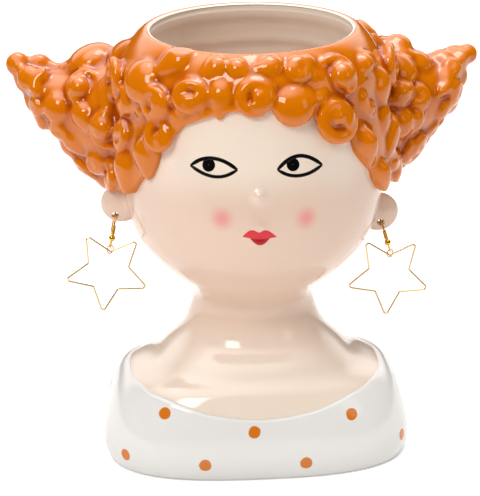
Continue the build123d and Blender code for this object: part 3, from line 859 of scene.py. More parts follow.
# %% Curls of the face side, by pixel
ROLL_RIGHT, ROLL_LEFT, KNOB, RING_RIGHT, RING_LEFT, DROP, WAVE = range(7)
photo_curls = [
    # pixel across, pixel down, radius in pixels, kind, way
    (189, 98, 21, ROLL_RIGHT, 45),
    (257, 97, 22.5, ROLL_LEFT, 60),
    (295, 104, 22, KNOB, 0),
    (220, 101, 17, DROP, 4),
    (336, 119, 27, ROLL_LEFT, 330),
    (361, 150, 23, DROP, 5),
    (377, 177, 20, DROP, -6),
    (391, 162, 13, ROLL_RIGHT, 60),
    (161, 136, 21, ROLL_RIGHT, 0),
    (146, 160, 19, DROP, 5),
    (125, 172, 20, DROP, 10),
    (98, 163, 15, ROLL_LEFT, 60),
    (120, 55, 18, RING_RIGHT, 250),
    (142, 81, 22, KNOB, 0),
    (172, 62, 20, DROP, 60),
    (297, 69, 15, ROLL_LEFT, 230),
    (337, 77, 23, RING_LEFT, 200),
    (368, 66, 17, RING_RIGHT, 350),
    (397, 87, 19, RING_RIGHT, 200),
    (370, 96, 17, WAVE, 40),
    (383, 118, 15, DROP, 0),
    (401, 123, 16, KNOB, 0),
    (84, 87, 20, RING_RIGHT, 320),
    (112, 94, 18, DROP, 20),
    (108, 130, 21, RING_LEFT, 60),
    (135, 118, 18, WAVE, 200),
    (84, 119, 16, DROP, -30),
    (56, 108, 15, KNOB, 0),
    (75, 145, 15, DROP, -30),
    (46, 84, 16, WAVE, 120),
    (70, 66, 15, DROP, 80),
    (28, 78, 13, KNOB, 0),
    (415, 62, 17, DROP, 70),
    (438, 58, 16, DROP, 80),
    (438, 80, 15, WAVE, 300),
    (420, 98, 16, ROLL_LEFT, 90),
    (414, 124, 15, DROP, 20),
    (459, 56, 10, KNOB, 0),
    (176, 119, 14, DROP, 30),
    (317, 103, 12, DROP, 30),
    (318, 66, 14, WAVE, 80),
    (240, 70, 12, DROP, -50),
    (213, 68, 13, DROP, 50),
    (266, 66, 14, DROP, 80),
]
# Curls of the back, in three layers of height, radius and shift, from one bun round to the other: bearing
# in degrees from the face, height and radius in mm, kind, way. The lower two layers leave the buns free.
back_layers = [(185, 12.0, 0), (164, 13.0, 12), (142, 12.5, 0)]
back_from = 84
back_to = 276
back_step = 24
back_curls = []
for layer, (height, radius, shift) in enumerate(back_layers):
    for i in range(9):
        bearing = back_from + shift + back_step * i
        near_horn = height < 180 and min(abs(bearing - 100), abs(bearing - 260)) < back_step
        if bearing <= back_to and not near_horn:
            kind = (ROLL_RIGHT, RING_LEFT, ROLL_LEFT, KNOB)[(i + layer) % 4]
            back_curls.append((bearing, height, radius, kind, 70 * i + 40 * layer))
# Curls of a horn's back and underside: share of its length, bearing round it, radius in mm.
horn_curls = [(0.42, 20, 11.5), (0.44, -35, 11.5), (0.6, -5, 9.5), (0.62, 40, 8.0), (0.45, -75, 11.0),
              (0.63, -55, 9.0), (0.76, 15, 7.0), (0.78, -35, 6.5)]
# How far each kind sinks into what it sits on, as a share of its radius.
sink_shares = {ROLL_RIGHT: -0.12, ROLL_LEFT: -0.12, KNOB: 0.1, RING_RIGHT: 0.0, RING_LEFT: 0.0, DROP: 0.1,
    WAVE: 0.06}


def curl_frame(spot, normal, up, way):
    """Rotation that sets a curl's disc square to the surface, with its strand setting off one way."""
    normal = normal.normalized()
    side = up.cross(normal).normalized()
    level_up = normal.cross(side)
    turn = Matrix.Rotation(-math.radians(way), 3, "Z")
    return Matrix((side, level_up, normal)).transposed() @ turn


# Distances in metres that clear the head and a bun, from which rays are sent inwards.
head_clear = 0.3
bun_clear = 0.1
# The smaller curls between: their seed, how many spots are tried, the steps that spread them evenly, their
# radii and spacing, their kinds, where they end, and how much smaller they are towards a bun's tip.
filler_seed = 11
filler_tries = 2600
golden_turn = 137.508
even_step = 0.7549
filler_radii = (8.5, 11.0)
filler_spacing = 0.68
filler_kinds = [KNOB, DROP, ROLL_LEFT, ROLL_LEFT, ROLL_RIGHT, ROLL_RIGHT]
highest_filler = 193.0
head_fillers = (5, 191)
bun_fillers = (0.2, 0.78)
bun_tip_from = 85.0
bun_tip_scale = 0.66


def filler_ray(i):
    """Where a ray towards the hair starts and which way it goes: odd ones to the head, even ones to a bun."""
    bearing = math.radians((i * golden_turn) % 360)
    share = (i * even_step) % 1
    if i % 2:
        low = hairline_at(bearing)
        start = Vector((math.sin(bearing), -math.cos(bearing), 0)) * head_clear
        way = -start.normalized()
        start.z = (low + head_fillers[0] + (head_fillers[1] - low) * share) * mm
        return start, way
    share = bun_fillers[0] + bun_fillers[1] * share
    rise = np.interp(share, [row[0] for row in bun_shares], [row[1] for row in bun_shares])
    way = -Vector((0, math.cos(bearing), math.sin(bearing)))
    axis = Vector(bun_axis(*bun_ends["left" if i % 4 else "right"], share, rise)) * mm
    return axis - way * bun_clear, way


def fillers(spots):
    """Smaller curls wherever there is room between the others, so that no bare cap shows."""
    rng = np.random.default_rng(filler_seed)
    middles = [(spot, size) for spot, _, _, size, _, _ in spots]
    made = []
    for i in range(filler_tries):
        spot, normal, _, _ = seat.ray_cast(*filler_ray(i))
        if spot is None or spot.z > highest_filler * mm:
            continue
        size = rng.uniform(*filler_radii) * mm
        if abs(spot.x) > bun_tip_from * mm:
            size *= bun_tip_scale
        kind = int(rng.choice(filler_kinds))
        turn = rng.uniform(0, 360)
        if all((spot - other).length > filler_spacing * (size + wide) for other, wide in middles):
            middles.append((spot, size))
            made.append((spot, normal, Vector((0, 0, 1)), size, kind, turn))
    return made


# Radius in mm of the knob at each bun's tip, by side, and how deep a curl over the brow sinks.
tip_knobs = {-1: 5.8, 1: 5.0}
brow_sink = 0.16
lean_to_view = 0.35
knuckle_step = 8.0
knuckle_radius = 7.0
tip_reach = 4.0
horn_curl_rise = 0.08


def place_curls():
    """Every curl as a point, a rotation, a size and a kind, in metres."""
    spots = []
    view_up = camera.matrix_world.to_3x3() @ Vector((0, 1, 0))
    for px, py, radius, kind, way in photo_curls:
        direction = ray_through(px, py)
        spot, normal, _, _ = seat.ray_cast(eye, direction)
        if spot is None:
            spot, normal, _, _ = seat.find_nearest(eye + direction * camera_distance)
        size = radius * camera_distance / focal_pixels
        brow = max(0.0, -normal.y) ** 4
        spot = spot - normal * size * brow_sink * brow
        spots.append((spot, (normal + back * lean_to_view).normalized(), view_up, size, kind, way))
    for bearing, height, radius, kind, way in back_curls:
        turn = math.radians(bearing)
        far = Vector((math.sin(turn) * head_clear, -math.cos(turn) * head_clear, height * mm))
        spot, normal, _, _ = seat.ray_cast(far, Vector((-far.x, -far.y, 0)).normalized())
        spots.append((spot, normal, Vector((0, 0, 1)), radius * mm, kind, way))
    for side, reach, tip_height in bun_ends.values():
        for i, (share, bearing, radius) in enumerate(horn_curls):
            turn = math.radians(bearing)
            axis = Vector(bun_axis(side, reach, tip_height, share, horn_curl_rise)) * mm
            out = Vector((0, math.cos(turn), math.sin(turn)))
            spot, normal, _, _ = seat.ray_cast(axis + out * bun_clear, -out)
            kind = (ROLL_RIGHT, KNOB, ROLL_LEFT, RING_LEFT)[i % 4]
            spots.append((spot, normal, Vector((side, 0, 0.3)), radius * mm, kind, 80 * i))
    for side, reach, tip_height in bun_ends.values():
        size = tip_knobs[side]
        tip = Vector((side * (reach + tip_reach - size), bun_setback, tip_height)) * mm
        knuckle = tip - Vector((side * knuckle_step, 0, 1.0)) * mm
        for spot, radius, kind, way in ((tip, size, KNOB, 0), (knuckle, knuckle_radius, DROP, 90)):
            facing = Vector((0, -1, 0.3)).normalized()
            spots.append((spot, facing, Vector((0, 0, 1)), radius * mm, kind, way))
    spots += fillers(spots)
    return [(spot - normal * size * sink_shares[kind], curl_frame(spot, normal, up, way), size, kind)
            for spot, normal, up, size, kind, way in spots]


curls = place_curls()
print("curls", len(curls))

# %% [markdown]
# One Geometry Nodes tree makes every curl. A roll is a fat strand that winds inwards once and ends in a
# ball. A ringed ball is a large ball with a thinner strand round half of it. A wave is a short thick strand
# without a ball, a knob is a low ball, and a drop is a long lobe that hangs down. Each is built once, at a
# radius of one, and stands on the points of its own kind.

# %% Geometry Nodes: curls
# A strand's turns and its radius at its start and end.
strands = {"Roll": (1.2, 0.76, 0.34), "Ring": (0.6, 0.84, 0.76), "Wave": (0.42, 0.72, 0.72)}
# How far a lump without a strand is stretched, and how slim its lower end is. From a height of this share
# of its radius up it is full.
lumps = {KNOB: ((1.0, 1.0, 0.78), 1.0), DROP: ((0.86, 1.2, 0.74), 0.4)}
lump_full = 0.3
# As shares of a curl's radius: how high a strand climbs, how thin it starts and how far it stays thin, and
# how near the middle and how high its ball sits.
strand_rise = 0.16
strand_start = 0.45
strand_thin = 0.25
ball_in = 0.35
ball_up = 0.18


def new_tree(name, sizes):
    """A Geometry Nodes tree with named inputs for its sizes and its material, and its input node."""
    tree = bpy.data.node_groups.new(name, "GeometryNodeTree")
    tree.interface.new_socket("Geometry", in_out="INPUT", socket_type="NodeSocketGeometry")
    for size, value in sizes.items():
        socket = tree.interface.new_socket(size, in_out="INPUT", socket_type="NodeSocketFloat")
        socket.default_value = value
    tree.interface.new_socket("Material", in_out="INPUT", socket_type="NodeSocketMaterial")
    tree.interface.new_socket("Geometry", in_out="OUTPUT", socket_type="NodeSocketGeometry")
    return tree, add(tree, "NodeGroupInput")


def end_tree(tree, entry, geometry):
    """Realizes the instances, sets the material and ends the tree."""
    real = add(tree, "GeometryNodeRealizeInstances", {"Geometry": geometry})
    paint = add(tree, "GeometryNodeSetMaterial", {"Geometry": real, "Material": entry.outputs["Material"]})
    add(tree, "NodeGroupOutput", {"Geometry": paint})


def grown(obj, name, tree, values):
    """The plain mesh that a tree makes of an object, with the tree's inputs set by identifier."""
    maker = obj.modifiers.new("nodes", "NODES")
    maker.node_group = tree
    for item in tree.interface.items_tree:
        if item.in_out == "INPUT" and item.name in values:
            maker[item.identifier] = values[item.name]
    return settled(obj, name)


def roll_of_hair(tree, turns, start, end, thickness, ball, reverse):
    """A winding strand that ends in a ball, one unit in radius, lying flat with its front up."""
    path = add(tree, "GeometryNodeCurveSpiral", {"Resolution": 40, "Rotations": turns,
        "Start Radius": start, "End Radius": end, "Height": strand_rise, "Reverse": reverse})
    along = add(tree, "GeometryNodeSplineParameter")
    narrow = add(tree, "ShaderNodeMath", {0: thickness, 1: strand_start}, operation="MULTIPLY")
    size = add(tree, "ShaderNodeMapRange", {"Value": along.outputs["Factor"], "From Min": 0.0,
        "From Max": strand_thin, "To Min": narrow, "To Max": thickness}, interpolation_type="SMOOTHSTEP")
    profile = add(tree, "GeometryNodeCurvePrimitiveCircle", {"Resolution": 20, "Radius": 1.0})
    strand = add(tree, "GeometryNodeCurveToMesh", {"Curve": path, "Profile Curve": profile, "Scale": size,
        "Fill Caps": True})
    if ball is None:
        return strand
    turn = 2 * math.pi * (-turns if reverse else turns)
    ball_spot = (end * math.cos(turn) * ball_in, end * math.sin(turn) * ball_in, ball_up)
    sphere = add(tree, "GeometryNodeMeshUVSphere", {"Segments": 24, "Rings": 16, "Radius": ball})
    ball_place = add(tree, "GeometryNodeTransform", {"Geometry": sphere, "Translation": ball_spot})
    both = add(tree, "GeometryNodeJoinGeometry")
    fill(tree, both, {0: strand})
    fill(tree, both, {0: ball_place})
    return both


def curls_tree():
    sizes = {"Roll thickness": 0.28, "Roll ball": 0.33, "Ring thickness": 0.2, "Ring ball": 0.56,
             "Wave thickness": 0.42, "Flatness": 0.8}
    tree, entry = new_tree("curls_of_hair", sizes)
    shapes = {}
    for kind, strand, reverse in ((ROLL_RIGHT, "Roll", True), (ROLL_LEFT, "Roll", False),
                                  (RING_RIGHT, "Ring", True), (RING_LEFT, "Ring", False)):
        shapes[kind] = roll_of_hair(tree, *strands[strand], entry.outputs[strand + " thickness"],
            entry.outputs[strand + " ball"], reverse)
    round_ball = add(tree, "GeometryNodeMeshUVSphere", {"Segments": 32, "Rings": 16, "Radius": 1.0})
    for kind, (stretch, tip) in lumps.items():
        spot = add(tree, "GeometryNodeInputPosition")
        along = add(tree, "ShaderNodeSeparateXYZ", {0: spot})
        taper = add(tree, "ShaderNodeMapRange", {"Value": along.outputs["Y"], "From Min": -1.0,
            "From Max": lump_full, "To Min": tip, "To Max": 1.0})
        slim = add(tree, "ShaderNodeCombineXYZ", {"X": taper, "Y": 1.0, "Z": taper})
        drawn = add(tree, "ShaderNodeVectorMath", {0: spot, 1: slim}, operation="MULTIPLY")
        shaped = add(tree, "GeometryNodeSetPosition", {"Geometry": round_ball, "Position": drawn})
        shapes[kind] = add(tree, "GeometryNodeTransform", {"Geometry": shaped, "Scale": stretch})
    shapes[WAVE] = roll_of_hair(tree, *strands["Wave"], entry.outputs["Wave thickness"], None, False)
    kind_of = add(tree, "GeometryNodeInputNamedAttribute", {"Name": "kind"}, data_type="INT")
    turn_of = add(tree, "GeometryNodeInputNamedAttribute", {"Name": "turn"}, data_type="QUATERNION")
    size_of = add(tree, "GeometryNodeInputNamedAttribute", {"Name": "size"}, data_type="FLOAT")
    depth = add(tree, "ShaderNodeMath", {0: size_of, 1: entry.outputs["Flatness"]}, operation="MULTIPLY")
    flat = add(tree, "ShaderNodeCombineXYZ", {"X": size_of, "Y": size_of, "Z": depth})
    everything = add(tree, "GeometryNodeJoinGeometry")
    for kind, shape in shapes.items():
        mine = add(tree, "FunctionNodeCompare", {"A": kind_of, "B": kind}, data_type="INT", operation="EQUAL")
        stand = add(tree, "GeometryNodeInstanceOnPoints", {
            "Points": entry.outputs["Geometry"], "Selection": mine,
            "Instance": shape, "Rotation": turn_of,
            "Scale": flat})
        fill(tree, everything, {0: stand})
    end_tree(tree, entry, everything)
    return tree


def make_curls():
    mesh = bpy.data.meshes.new("curl_places")
    mesh.from_pydata([tuple(c[0]) for c in curls], [], [])
    for name, form in (("turn", "QUATERNION"), ("size", "FLOAT"), ("kind", "INT")):
        mesh.attributes.new(name, form, "POINT")
    for i, (_, turn, size, kind) in enumerate(curls):
        mesh.attributes["turn"].data[i].value = turn.to_quaternion()
        mesh.attributes["size"].data[i].value = size
        mesh.attributes["kind"].data[i].value = kind
    return grown(new_object("curl_places", mesh), "curls", curls_tree(), {"Material": hair_glaze})


curl_relief = make_curls()
print("curl faces", len(curl_relief.data.polygons))

# %% [markdown]
# Clay runs together. The cap, the horns and the curls are merged into one skin on a fine grid of cubes
# and then smoothed a little, which fills the creases the way slip and glaze do. What lies inside the
# pot's wall is pressed flat against it, so nothing of the hair shows in the hollow.

# %% Hair: merge and soften
# In millimetres: the side of a cube, how far creases are filled, how softly the hair's depth is held, how
# far its front may pass the solids' box. Then the share of the mouth that stays open and from what height
# up, the rounds of averaging that find a crease, and how much of the hidden side goes, and where.
cube = 0.95
crease_fill = 0.5
soft_edge = 3.5
proud = 1.6
mouth_clear = 1.012
mouth_from = 150.0
crease_rounds = 14
hidden_cut = 0.9
hidden_margin = 0.6
hidden_below = 196.0


def merge_step(obj, name, size):
    """Adds a modifier that merges all closed shells of an object into one skin of small cubes."""
    merge = obj.modifiers.new(name, "REMESH")
    merge.mode = "VOXEL"
    merge.voxel_size = size * mm
    return merge


def soften_step(obj, rounds):
    soften = obj.modifiers.new("soften", "SMOOTH")
    soften.factor = 0.5
    soften.iterations = rounds


hair = joined("hair_relief", [under_hair, curl_relief])
merge_step(hair, "merge", cube)
for name, distance in (("swell", crease_fill), ("shrink", -crease_fill)):
    swell = hair.modifiers.new(name, "DISPLACE")
    swell.mid_level = 0
    swell.strength = distance * mm
    if distance > 0:
        merge_step(hair, "merge_again", cube).use_smooth_shade = True
soften_step(hair, 4)
hair = settled(hair, "hair_relief")
print("merged faces", len(hair.data.polygons))


def vertex_points(mesh):
    """A mesh's vertices as an array of points in metres."""
    points = np.empty(len(mesh.vertices) * 3)
    mesh.vertices.foreach_get("co", points)
    return points.reshape(-1, 3)


def core_radius(points):
    """Radius of the surface a little inside the pot's skin, at each point's height and bearing."""
    row = row_at(fine_skin, points[:, 2] / mm)
    across = points[:, 0] / mm
    along = points[:, 1] / mm - row[3]
    turn = np.arctan2(across, -along)
    core = [row[0], row[1] - core_depth, row[2] - core_depth, row[3], row[4]]
    return turn, radius_at(core, turn), np.hypot(across, along), row[3]


def press_inside(obj):
    """Presses what lies inside the pot's wall against it, keeps the mouth open and the depth as given."""
    mesh = obj.data
    points = vertex_points(mesh)
    turn, core, radius, setback = core_radius(points)
    inside = (radius < core) & (points[:, 2] < (pot_height - rim_lip) * mm)
    points[inside, 0] = (core * np.sin(turn))[inside] * mm
    points[inside, 1] = (setback - core * np.cos(turn))[inside] * mm
    mouth = np.hypot(points[:, 0] / (mouth_width / 2 * mm), points[:, 1] / (mouth_depth / 2 * mm))
    narrow = (mouth < mouth_clear) & (points[:, 2] > mouth_from * mm)
    points[narrow, :2] *= (mouth_clear / mouth[narrow])[:, None]
    points[:, 2] = np.minimum(points[:, 2], pot_height * mm)
    for limit, way in ((proud * mm - cad_box[0][1], -1), (cad_box[1][1], 1)):
        free = limit - soft_edge * mm
        bulge = way * points[:, 1] > free
        out = (way * points[bulge, 1] - free) / (soft_edge * mm)
        points[bulge, 1] = way * (free + np.tanh(out) * soft_edge * mm)
    mesh.vertices.foreach_set("co", points.ravel())
    mesh.update()
    return points


def store_crease(obj, points):
    """Keeps how deep each point lies in a crease, in millimetres, where the glaze pools and painted shade
    darkens it.
    """
    mesh = obj.data
    count = len(points)
    edges = np.empty(len(mesh.edges) * 2, int)
    mesh.edges.foreach_get("vertices", edges)
    edges = edges.reshape(-1, 2)
    ends = np.concatenate([edges, edges[:, ::-1]])
    degree = np.bincount(ends[:, 0], minlength=count)[:, None]
    soft = points.copy()
    for _ in range(crease_rounds):
        total = np.stack([np.bincount(ends[:, 0], soft[ends[:, 1], k], count) for k in range(3)], -1)
        soft = total / np.maximum(degree, 1)
    normals = np.empty(count * 3)
    mesh.vertices.foreach_get("normal", normals)
    depth = ((soft - points) * normals.reshape(-1, 3)).sum(-1) / mm
    field = mesh.attributes.new("crease", "FLOAT", "POINT")
    field.data.foreach_set("value", depth.astype(np.float32))
    print("crease from", round(depth.min(), 2), "to", round(depth.max(), 2))


def thin_hidden(obj, share):
    """Gives the hidden side that lies inside the pot's wall far fewer faces."""
    points = vertex_points(obj.data)
    _, core, radius, _ = core_radius(points)
    hidden = (radius < core + hidden_margin) & (points[:, 2] < hidden_below * mm)
    group = obj.vertex_groups.new(name="hidden")
    group.add([int(i) for i in np.nonzero(hidden)[0]], 1.0, "REPLACE")
    fewer = obj.modifiers.new("fewer", "DECIMATE")
    fewer.vertex_group = "hidden"
    fewer.ratio = 1 - share * hidden.mean()
    thin = settled(obj, "hair_relief")
    print("hidden share", round(hidden.mean(), 2), "faces left", len(thin.data.polygons))
    return thin


press_inside(hair)
hair = thin_hidden(hair, hidden_cut)
hair_points = press_inside(hair)
store_crease(hair, hair_points)
hair.data.materials.clear()
hair.data.materials.append(hair_glaze)
hair.data.shade_smooth()
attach(hair, "planter")
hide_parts("hair", "bun_left", "bun_right")

# %% [markdown]
# Ears. Each is a soft round lobe, pulled out of the side of the head, with a hole that was pierced
# through the leather-hard clay. The lobe and the web that joins it to the head are merged and smoothed.

# %% Ears
ear_radius = 9.7
ear_thickness = 7.2
ear_cube = 0.42
ear_rounds = 14
web_inward = 5.5
web_radii = (8.6, 4.6, 8.4)
lobe_flat = 0.3
hole_columns = 32
# The hole flares towards both faces and climbs a little towards the back.
hole_profile = [(-8, 2.2), (-2.6, 1.7), (0, 1.6), (2.6, 1.7), (8, 2.2)]
hole_slope = 0.08
lobes = {"left": (Vector((-61.5, -6.0, 123.5)), Vector((-64.6, -6.0, 118.4))),
         "right": (Vector((58.0, -6.0, 114.8)), Vector((59.1, -6.0, 110.6)))}


def ball(name, middle, radii, segments=48, rings=32):
    """A closed ball, stretched along the axes, in millimetres."""
    turns = np.linspace(0, 2 * math.pi, segments, endpoint=False)
    points = [[0, 0, -1]]
    for r in range(1, rings):
        tilt = math.pi * r / rings
        points += [[math.sin(tilt) * math.cos(a), math.sin(tilt) * math.sin(a), -math.cos(tilt)]
                   for a in turns]
    points.append([0, 0, 1])
    last = len(points) - 1
    faces = grid_faces(rings - 1, segments, first=1) + pole_faces(0, last, 1, last - segments, segments)
    points = (np.array(points) * np.array(radii) + np.array(middle)) * mm
    return new_object(name, mesh_of(name, points, faces))


def make_ear(name, middle, hole):
    side = -1 if middle.x < 0 else 1
    lobe = ball("lobe", middle, (ear_radius, ear_thickness / 2, ear_radius - lobe_flat))
    web = ball("web", middle - Vector((side * web_inward, 0, -1.0)), web_radii)
    ear = joined(f"ear_{name}_soft", [lobe, web])
    merge_step(ear, "merge", ear_cube)
    soften_step(ear, ear_rounds)
    turns = np.linspace(0, 2 * math.pi, hole_columns, endpoint=False)
    rings = [np.stack([hole.x + wide * np.cos(turns), np.full(hole_columns, hole.y + out),
        hole.z + out * hole_slope + wide * np.sin(turns)], -1) * mm for out, wide in hole_profile]
    points, faces = capped(rings)
    drill = new_object("drill", mesh_of("drill", points, [tuple(reversed(f)) for f in faces]))
    pierce = ear.modifiers.new("pierce", "BOOLEAN")
    pierce.operation = "DIFFERENCE"
    pierce.object = drill
    ear = settled(ear, f"ear_{name}_soft")
    bpy.data.objects.remove(drill)
    ear.data.shade_smooth()
    ear.data.materials.clear()
    ear.data.materials.append(cream)
    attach(ear, "planter")
    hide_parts("ear_" + name)
    print("ear", name, len(ear.data.polygons), "faces")


for name, (middle, hole) in lobes.items():
    make_ear(name, middle, hole)

# %% [markdown]
# Painted features. The eyes are brush strokes of black enamel and the lips a dab of red, fired over the
# glaze. A stroke is a thin closed skin: its outline is given by pixel, and a ray from the camera
# finds the face under each point.

# %% Paint on the face
skin = surface_of(pot)
paint_thickness = 0.06
paint_root = 0.25
# A stroke's points along and across it, its end's share of the width, and how soon it is full.
stroke_steps = 40
stroke_across = 5
stroke_end = 0.55
stroke_swell = 9
# Shares of the way from a dab's outline to its middle.
dab_rows = (0, 0.04, 0.3, 0.6, 0.85, 0.985)


def on_face(px, py, lift):
    """The point of the face under a pixel, lifted off it by some millimetres."""
    spot, normal, _, _ = skin.ray_cast(eye, ray_through(px, py))
    return spot + normal * lift * mm


def enamel(name, colour):
    """Glossy overglaze enamel, painted on by hand."""
    material, tree, shader = new_material(name)
    fill(tree, shader, {"Base Color": linear(colour), "Roughness": 0.16, "IOR": 1.35})
    return material


def curve_through(corners, steps):
    """Points along a smooth line through a few given ones."""
    corners = np.array(corners, float)
    length = np.concatenate([[0], np.cumsum(np.hypot(*np.diff(corners, axis=0).T))])
    return natural_spline(length, corners, np.linspace(0, length[-1], steps))


def painted(name, sheet, closed, material):
    """A thin closed skin over the face from a grid of pixels, rows along it and columns across."""
    rows, wide = sheet.shape[:2]
    top = [on_face(px, py, paint_thickness) for row in sheet for px, py in row]
    under = [on_face(px, py, -paint_root) for row in sheet for px, py in row[::-1]]
    points = []
    for r in range(rows):
        points += top[r * wide:(r + 1) * wide] + under[r * wide:(r + 1) * wide]
    if closed:
        faces = loop_faces(rows, 2 * wide)
    else:
        points, faces = capped(np.array(points).reshape(rows, 2 * wide, 3))
    obj = new_object(name, mesh_of(name, points, faces))
    obj.data.materials.append(material)
    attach(obj, "planter")
    return obj


def stroke(name, corners, width, material):
    """A brush stroke of one width, a little thinner at its ends."""
    line = curve_through(corners, stroke_steps)
    along = np.gradient(line, axis=0)
    along /= np.hypot(along[:, 0], along[:, 1])[:, None]
    normal = np.stack([-along[:, 1], along[:, 0]], -1)
    ends = np.linspace(0, 1, stroke_steps)
    full = np.minimum(1, np.minimum(ends, 1 - ends) * stroke_swell)
    half = width / 2 * (stroke_end + (1 - stroke_end) * full)
    across = np.linspace(-1, 1, stroke_across)
    sheet = line[:, None] + normal[:, None] * (half[:, None] * across)[:, :, None]
    return painted(name, sheet, False, material)


def dab(name, outline, middle, material):
    """A filled spot of paint inside a closed outline that can be seen whole from its middle."""
    outline = np.array(outline, float)
    middle = np.array(middle, float)
    rows = [outline + (middle - outline) * share for share in dab_rows]
    return painted(name, np.stack(rows, 1), True, material)


black = enamel("black_overglaze_enamel", "#0B0A0A")
red = enamel("red_overglaze_enamel", "#D8313A")
dark_red = enamel("dark_red_overglaze_enamel", "#B00D1A")
# By side: the upper line, the lower line and the pupil's middle. Widths and radii are in pixels too.
eyes = {
    "left": ([(190.6, 165.4), (199.0, 160.3), (210.8, 158.2), (224.5, 161.6), (237.4, 169.8)],
             [(190.6, 165.4), (203.0, 173.2), (217.0, 176.8), (228.0, 175.0), (237.4, 169.8)],
             (208.7, 165.0)),
    "right": ([(277.6, 169.8), (286.5, 161.0), (299.0, 155.8), (312.0, 158.4), (322.2, 164.8)],
              [(277.6, 169.8), (286.0, 174.2), (297.0, 175.8), (311.5, 172.0), (322.2, 164.8)],
              (293.0, 164.6)),
}
upper_width = 3.9
lower_width = 3.5
pupil_radii = (6.4, 6.7)
around = np.linspace(0, 2 * math.pi, 40, endpoint=False)
circle = np.stack([np.cos(around), np.sin(around)], -1)
for name, (upper, lower, pupil) in eyes.items():
    stroke(f"eye_line_upper_{name}", upper, upper_width, black)
    stroke(f"eye_line_lower_{name}", lower, lower_width, black)
    dab(f"pupil_{name}", np.array(pupil) + np.array(pupil_radii) * circle, pupil, black)
lip_top = curve_through([(242.5, 236.7), (246.5, 232.6), (250.8, 230.3), (255.5, 231.0), (259.2, 232.6),
                         (262.5, 231.0), (266.3, 230.3), (271.5, 232.6), (277.0, 236.8)], 36)
lip_parting = curve_through([(277.0, 236.8), (268.5, 238.5), (259.7, 239.4), (250.5, 238.4),
                             (242.5, 236.7)], 30)
lip_bottom = curve_through([(250.0, 238.3), (254.0, 242.6), (259.7, 245.2), (265.8, 242.7),
                            (269.6, 238.4)], 24)
lip_seam = curve_through([(269.6, 238.4), (259.7, 239.3), (250.0, 238.3)], 16)
dab("lip_upper", np.concatenate([lip_top, lip_parting[1:-1]]), (259.6, 236.0), red)
dab("lip_lower", np.concatenate([lip_bottom, lip_seam[1:-1]]), (259.7, 241.6), dark_red)

# %% [markdown]
# The earrings. A goldsmith bends each from drawn wire: the hook with its end loop, a tight coil and a
# bead on the shank, a jump ring, and a star of thicker wire. One tree turns a path into round wire and
# rounds its corners, so the same tool bends all of them.

# %% Earrings: gold and the wire tree


def gold_metal(name, colour, roughness):
    """Brass wire with a thin gold plating, polished by tumbling."""
    material, tree, shader = new_material(name)
    fill(tree, shader, {"Base Color": linear(colour), "Metallic": 1.0, "Roughness": roughness})
    return material


gold = gold_metal("gold_plated_brass_wire", "#D9A53A", 0.2)
pale_gold = gold_metal("pale_gold_plated_brass_wire", "#DCC08A", 0.18)


def wire_tree():
    tree, entry = new_tree("bent_wire", {"Wire radius": 0.4 * mm, "Corner radius": 0.6 * mm})
    path = add(tree, "GeometryNodeMeshToCurve", {"Mesh": entry.outputs["Geometry"]})
    bend = add(tree, "GeometryNodeFilletCurve", {"Curve": path, "Count": 6,
        "Radius": entry.outputs["Corner radius"], "Limit Radius": True}, mode="POLY")
    section = add(tree, "GeometryNodeCurvePrimitiveCircle", {"Resolution": 14,
        "Radius": entry.outputs["Wire radius"]})
    wire = add(tree, "GeometryNodeCurveToMesh", {"Curve": bend, "Profile Curve": section, "Fill Caps": True})
    end_tree(tree, entry, wire)
    return tree


bent_wire = wire_tree()


def bend_wire(name, path, closed, radius, corner, material):
    """A wire piece along a path in millimetres."""
    mesh = bpy.data.meshes.new(name)
    count = len(path)
    edges = [(i, (i + 1) % count) for i in range(count if closed else count - 1)]
    mesh.from_pydata([tuple(Vector(p) * mm) for p in path], edges, [])
    values = {"Wire radius": radius * mm, "Corner radius": corner * mm, "Material": material}
    obj = grown(new_object(name, mesh), name, bent_wire, values)
    obj.data.shade_smooth()
    return obj


# %% Earrings: sizes and paths
hook_radius = 0.38
hook_bend = 4.6
tail_length = 6.0
loop_bend = 1.5
coil_radius = 0.24
coil_length = 4.0
coil_turns = 7
bead_radius = 1.5
gap = 0.12
ring_radius = 0.27
ring_bend = 1.9
ring_turn = 38.0
star_radius = 0.42
star_tip = 18.8
star_notch = 9.9
star_flat = 1.6
star_corner = 0.7
coil_clear = 0.05
coil_steps = 24
arc_steps = 40
ring_steps = 48
# Side: sign, hook pivot, drop of the bend below it, lean of the hook, ring pivot, star pivot, star lean.
earrings = {
    "left": (-1, (-64.6, -6.0, 117.3), 3.39, 11.0, (-67.39, -9.1, 102.96), (-67.39, -9.1, 100.74), 8.0),
    "right": (1, (59.6, -6.0, 109.7), 2.97, 16.0, (63.51, -9.1, 96.06), (63.51, -9.1, 93.84), 3.7),
}


def arc(middle, radius, start, end, steps):
    """Points of an arc in the plane of Y and Z, by angles from +Y towards +Z."""
    return [(0, middle[0] + radius * math.cos(a), middle[1] + radius * math.sin(a))
            for a in np.radians(np.linspace(start, end, steps))]


def finish_piece(obj, body, node):
    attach(obj, body)
    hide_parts(node)


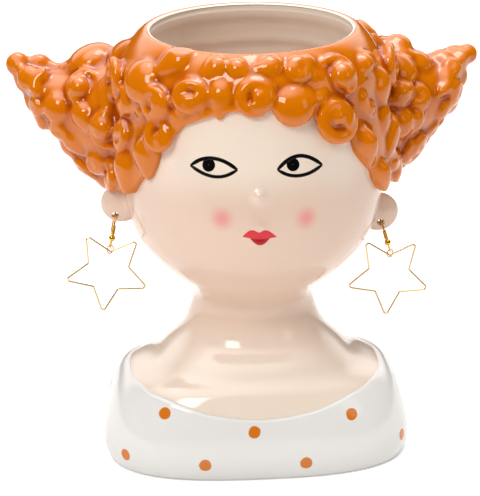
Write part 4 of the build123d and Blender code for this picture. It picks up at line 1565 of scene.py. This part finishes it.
def make_earring(name, side, pivot, drop, lean, ring_pivot, star_pivot, star_lean):
    coil_top = -drop - gap - coil_radius
    bead = coil_top - coil_length - coil_radius - gap - bead_radius
    loop = bead - bead_radius - gap - hook_radius - loop_bend
    hang = Matrix.Rotation(math.radians(-side * lean), 3, "Y")

    def placed(path):
        return [Vector(pivot) + hang @ Vector(p) for p in path]

    hook = [(0, hook_bend, -drop - tail_length)] + arc((0, -drop), hook_bend, 0, 180, arc_steps)
    hook += arc((-hook_bend + loop_bend, loop), loop_bend, 180, 450, arc_steps)
    turns = np.linspace(0, coil_turns, coil_turns * coil_steps + 1)
    reach = hook_radius + coil_radius + coil_clear
    coil = [(reach * math.cos(2 * math.pi * a), reach * math.sin(2 * math.pi * a) - hook_bend,
             coil_top - coil_length * a / coil_turns) for a in turns]
    low = Vector(ring_pivot) + Vector((0, 0, hook_radius + gap + ring_radius - ring_bend))
    turn = Matrix.Rotation(math.radians(ring_turn), 3, "Z")
    ring = [low + turn @ Vector((ring_bend * math.cos(a), 0, ring_bend * math.sin(a)))
            for a in np.linspace(0, 2 * math.pi, ring_steps, endpoint=False)]
    sway = Matrix.Rotation(math.radians(star_lean), 3, "Y")
    star = []
    for i in range(5):
        tip = math.radians(36 + 72 * i)
        notch = math.radians(72 + 72 * i)
        across = Vector((math.cos(tip), 0, -math.sin(tip))) * star_flat / 2
        end = Vector((math.sin(tip), 0, math.cos(tip))) * star_tip
        star += [end - across, end + across, Vector((math.sin(notch), 0, math.cos(notch))) * star_notch]
    star = [Vector(star_pivot) + sway @ (p - Vector((0, 0, star_notch))) for p in star]

    def bend_piece(piece, path, closed, radius, corner, metal, body, node):
        wire = bend_wire(f"{piece}_{name}", path, closed, radius, corner, metal)
        finish_piece(wire, f"{body}_{name}", f"{node}_{name}")

    bend_piece("hook", placed(hook), False, hook_radius, 0.0, gold, "hook", "ear_wire")
    bend_piece("coil", placed(coil), False, coil_radius, 0.0, gold, "hook", "wire_coil")
    middle = placed([(0, -hook_bend, bead)])[0]
    pearl = ball(f"round_bead_{name}", middle, (bead_radius, bead_radius, bead_radius), 32, 20)
    pearl.data.materials.append(gold)
    finish_piece(pearl, f"hook_{name}", f"bead_{name}")
    bend_piece("ring_round", ring, True, ring_radius, 0.0, gold, "ring", "jump_ring")
    bend_piece("star_wire", star, True, star_radius, star_corner, pale_gold, "star", "star")


for name, values in earrings.items():
    make_earring(name, *values)

# %% [markdown]
# The last cell prints the box of the solids, in millimetres.

# %% Finish
print("solids", [[round(a / mm, 1) for a in v] for v in cad_box])
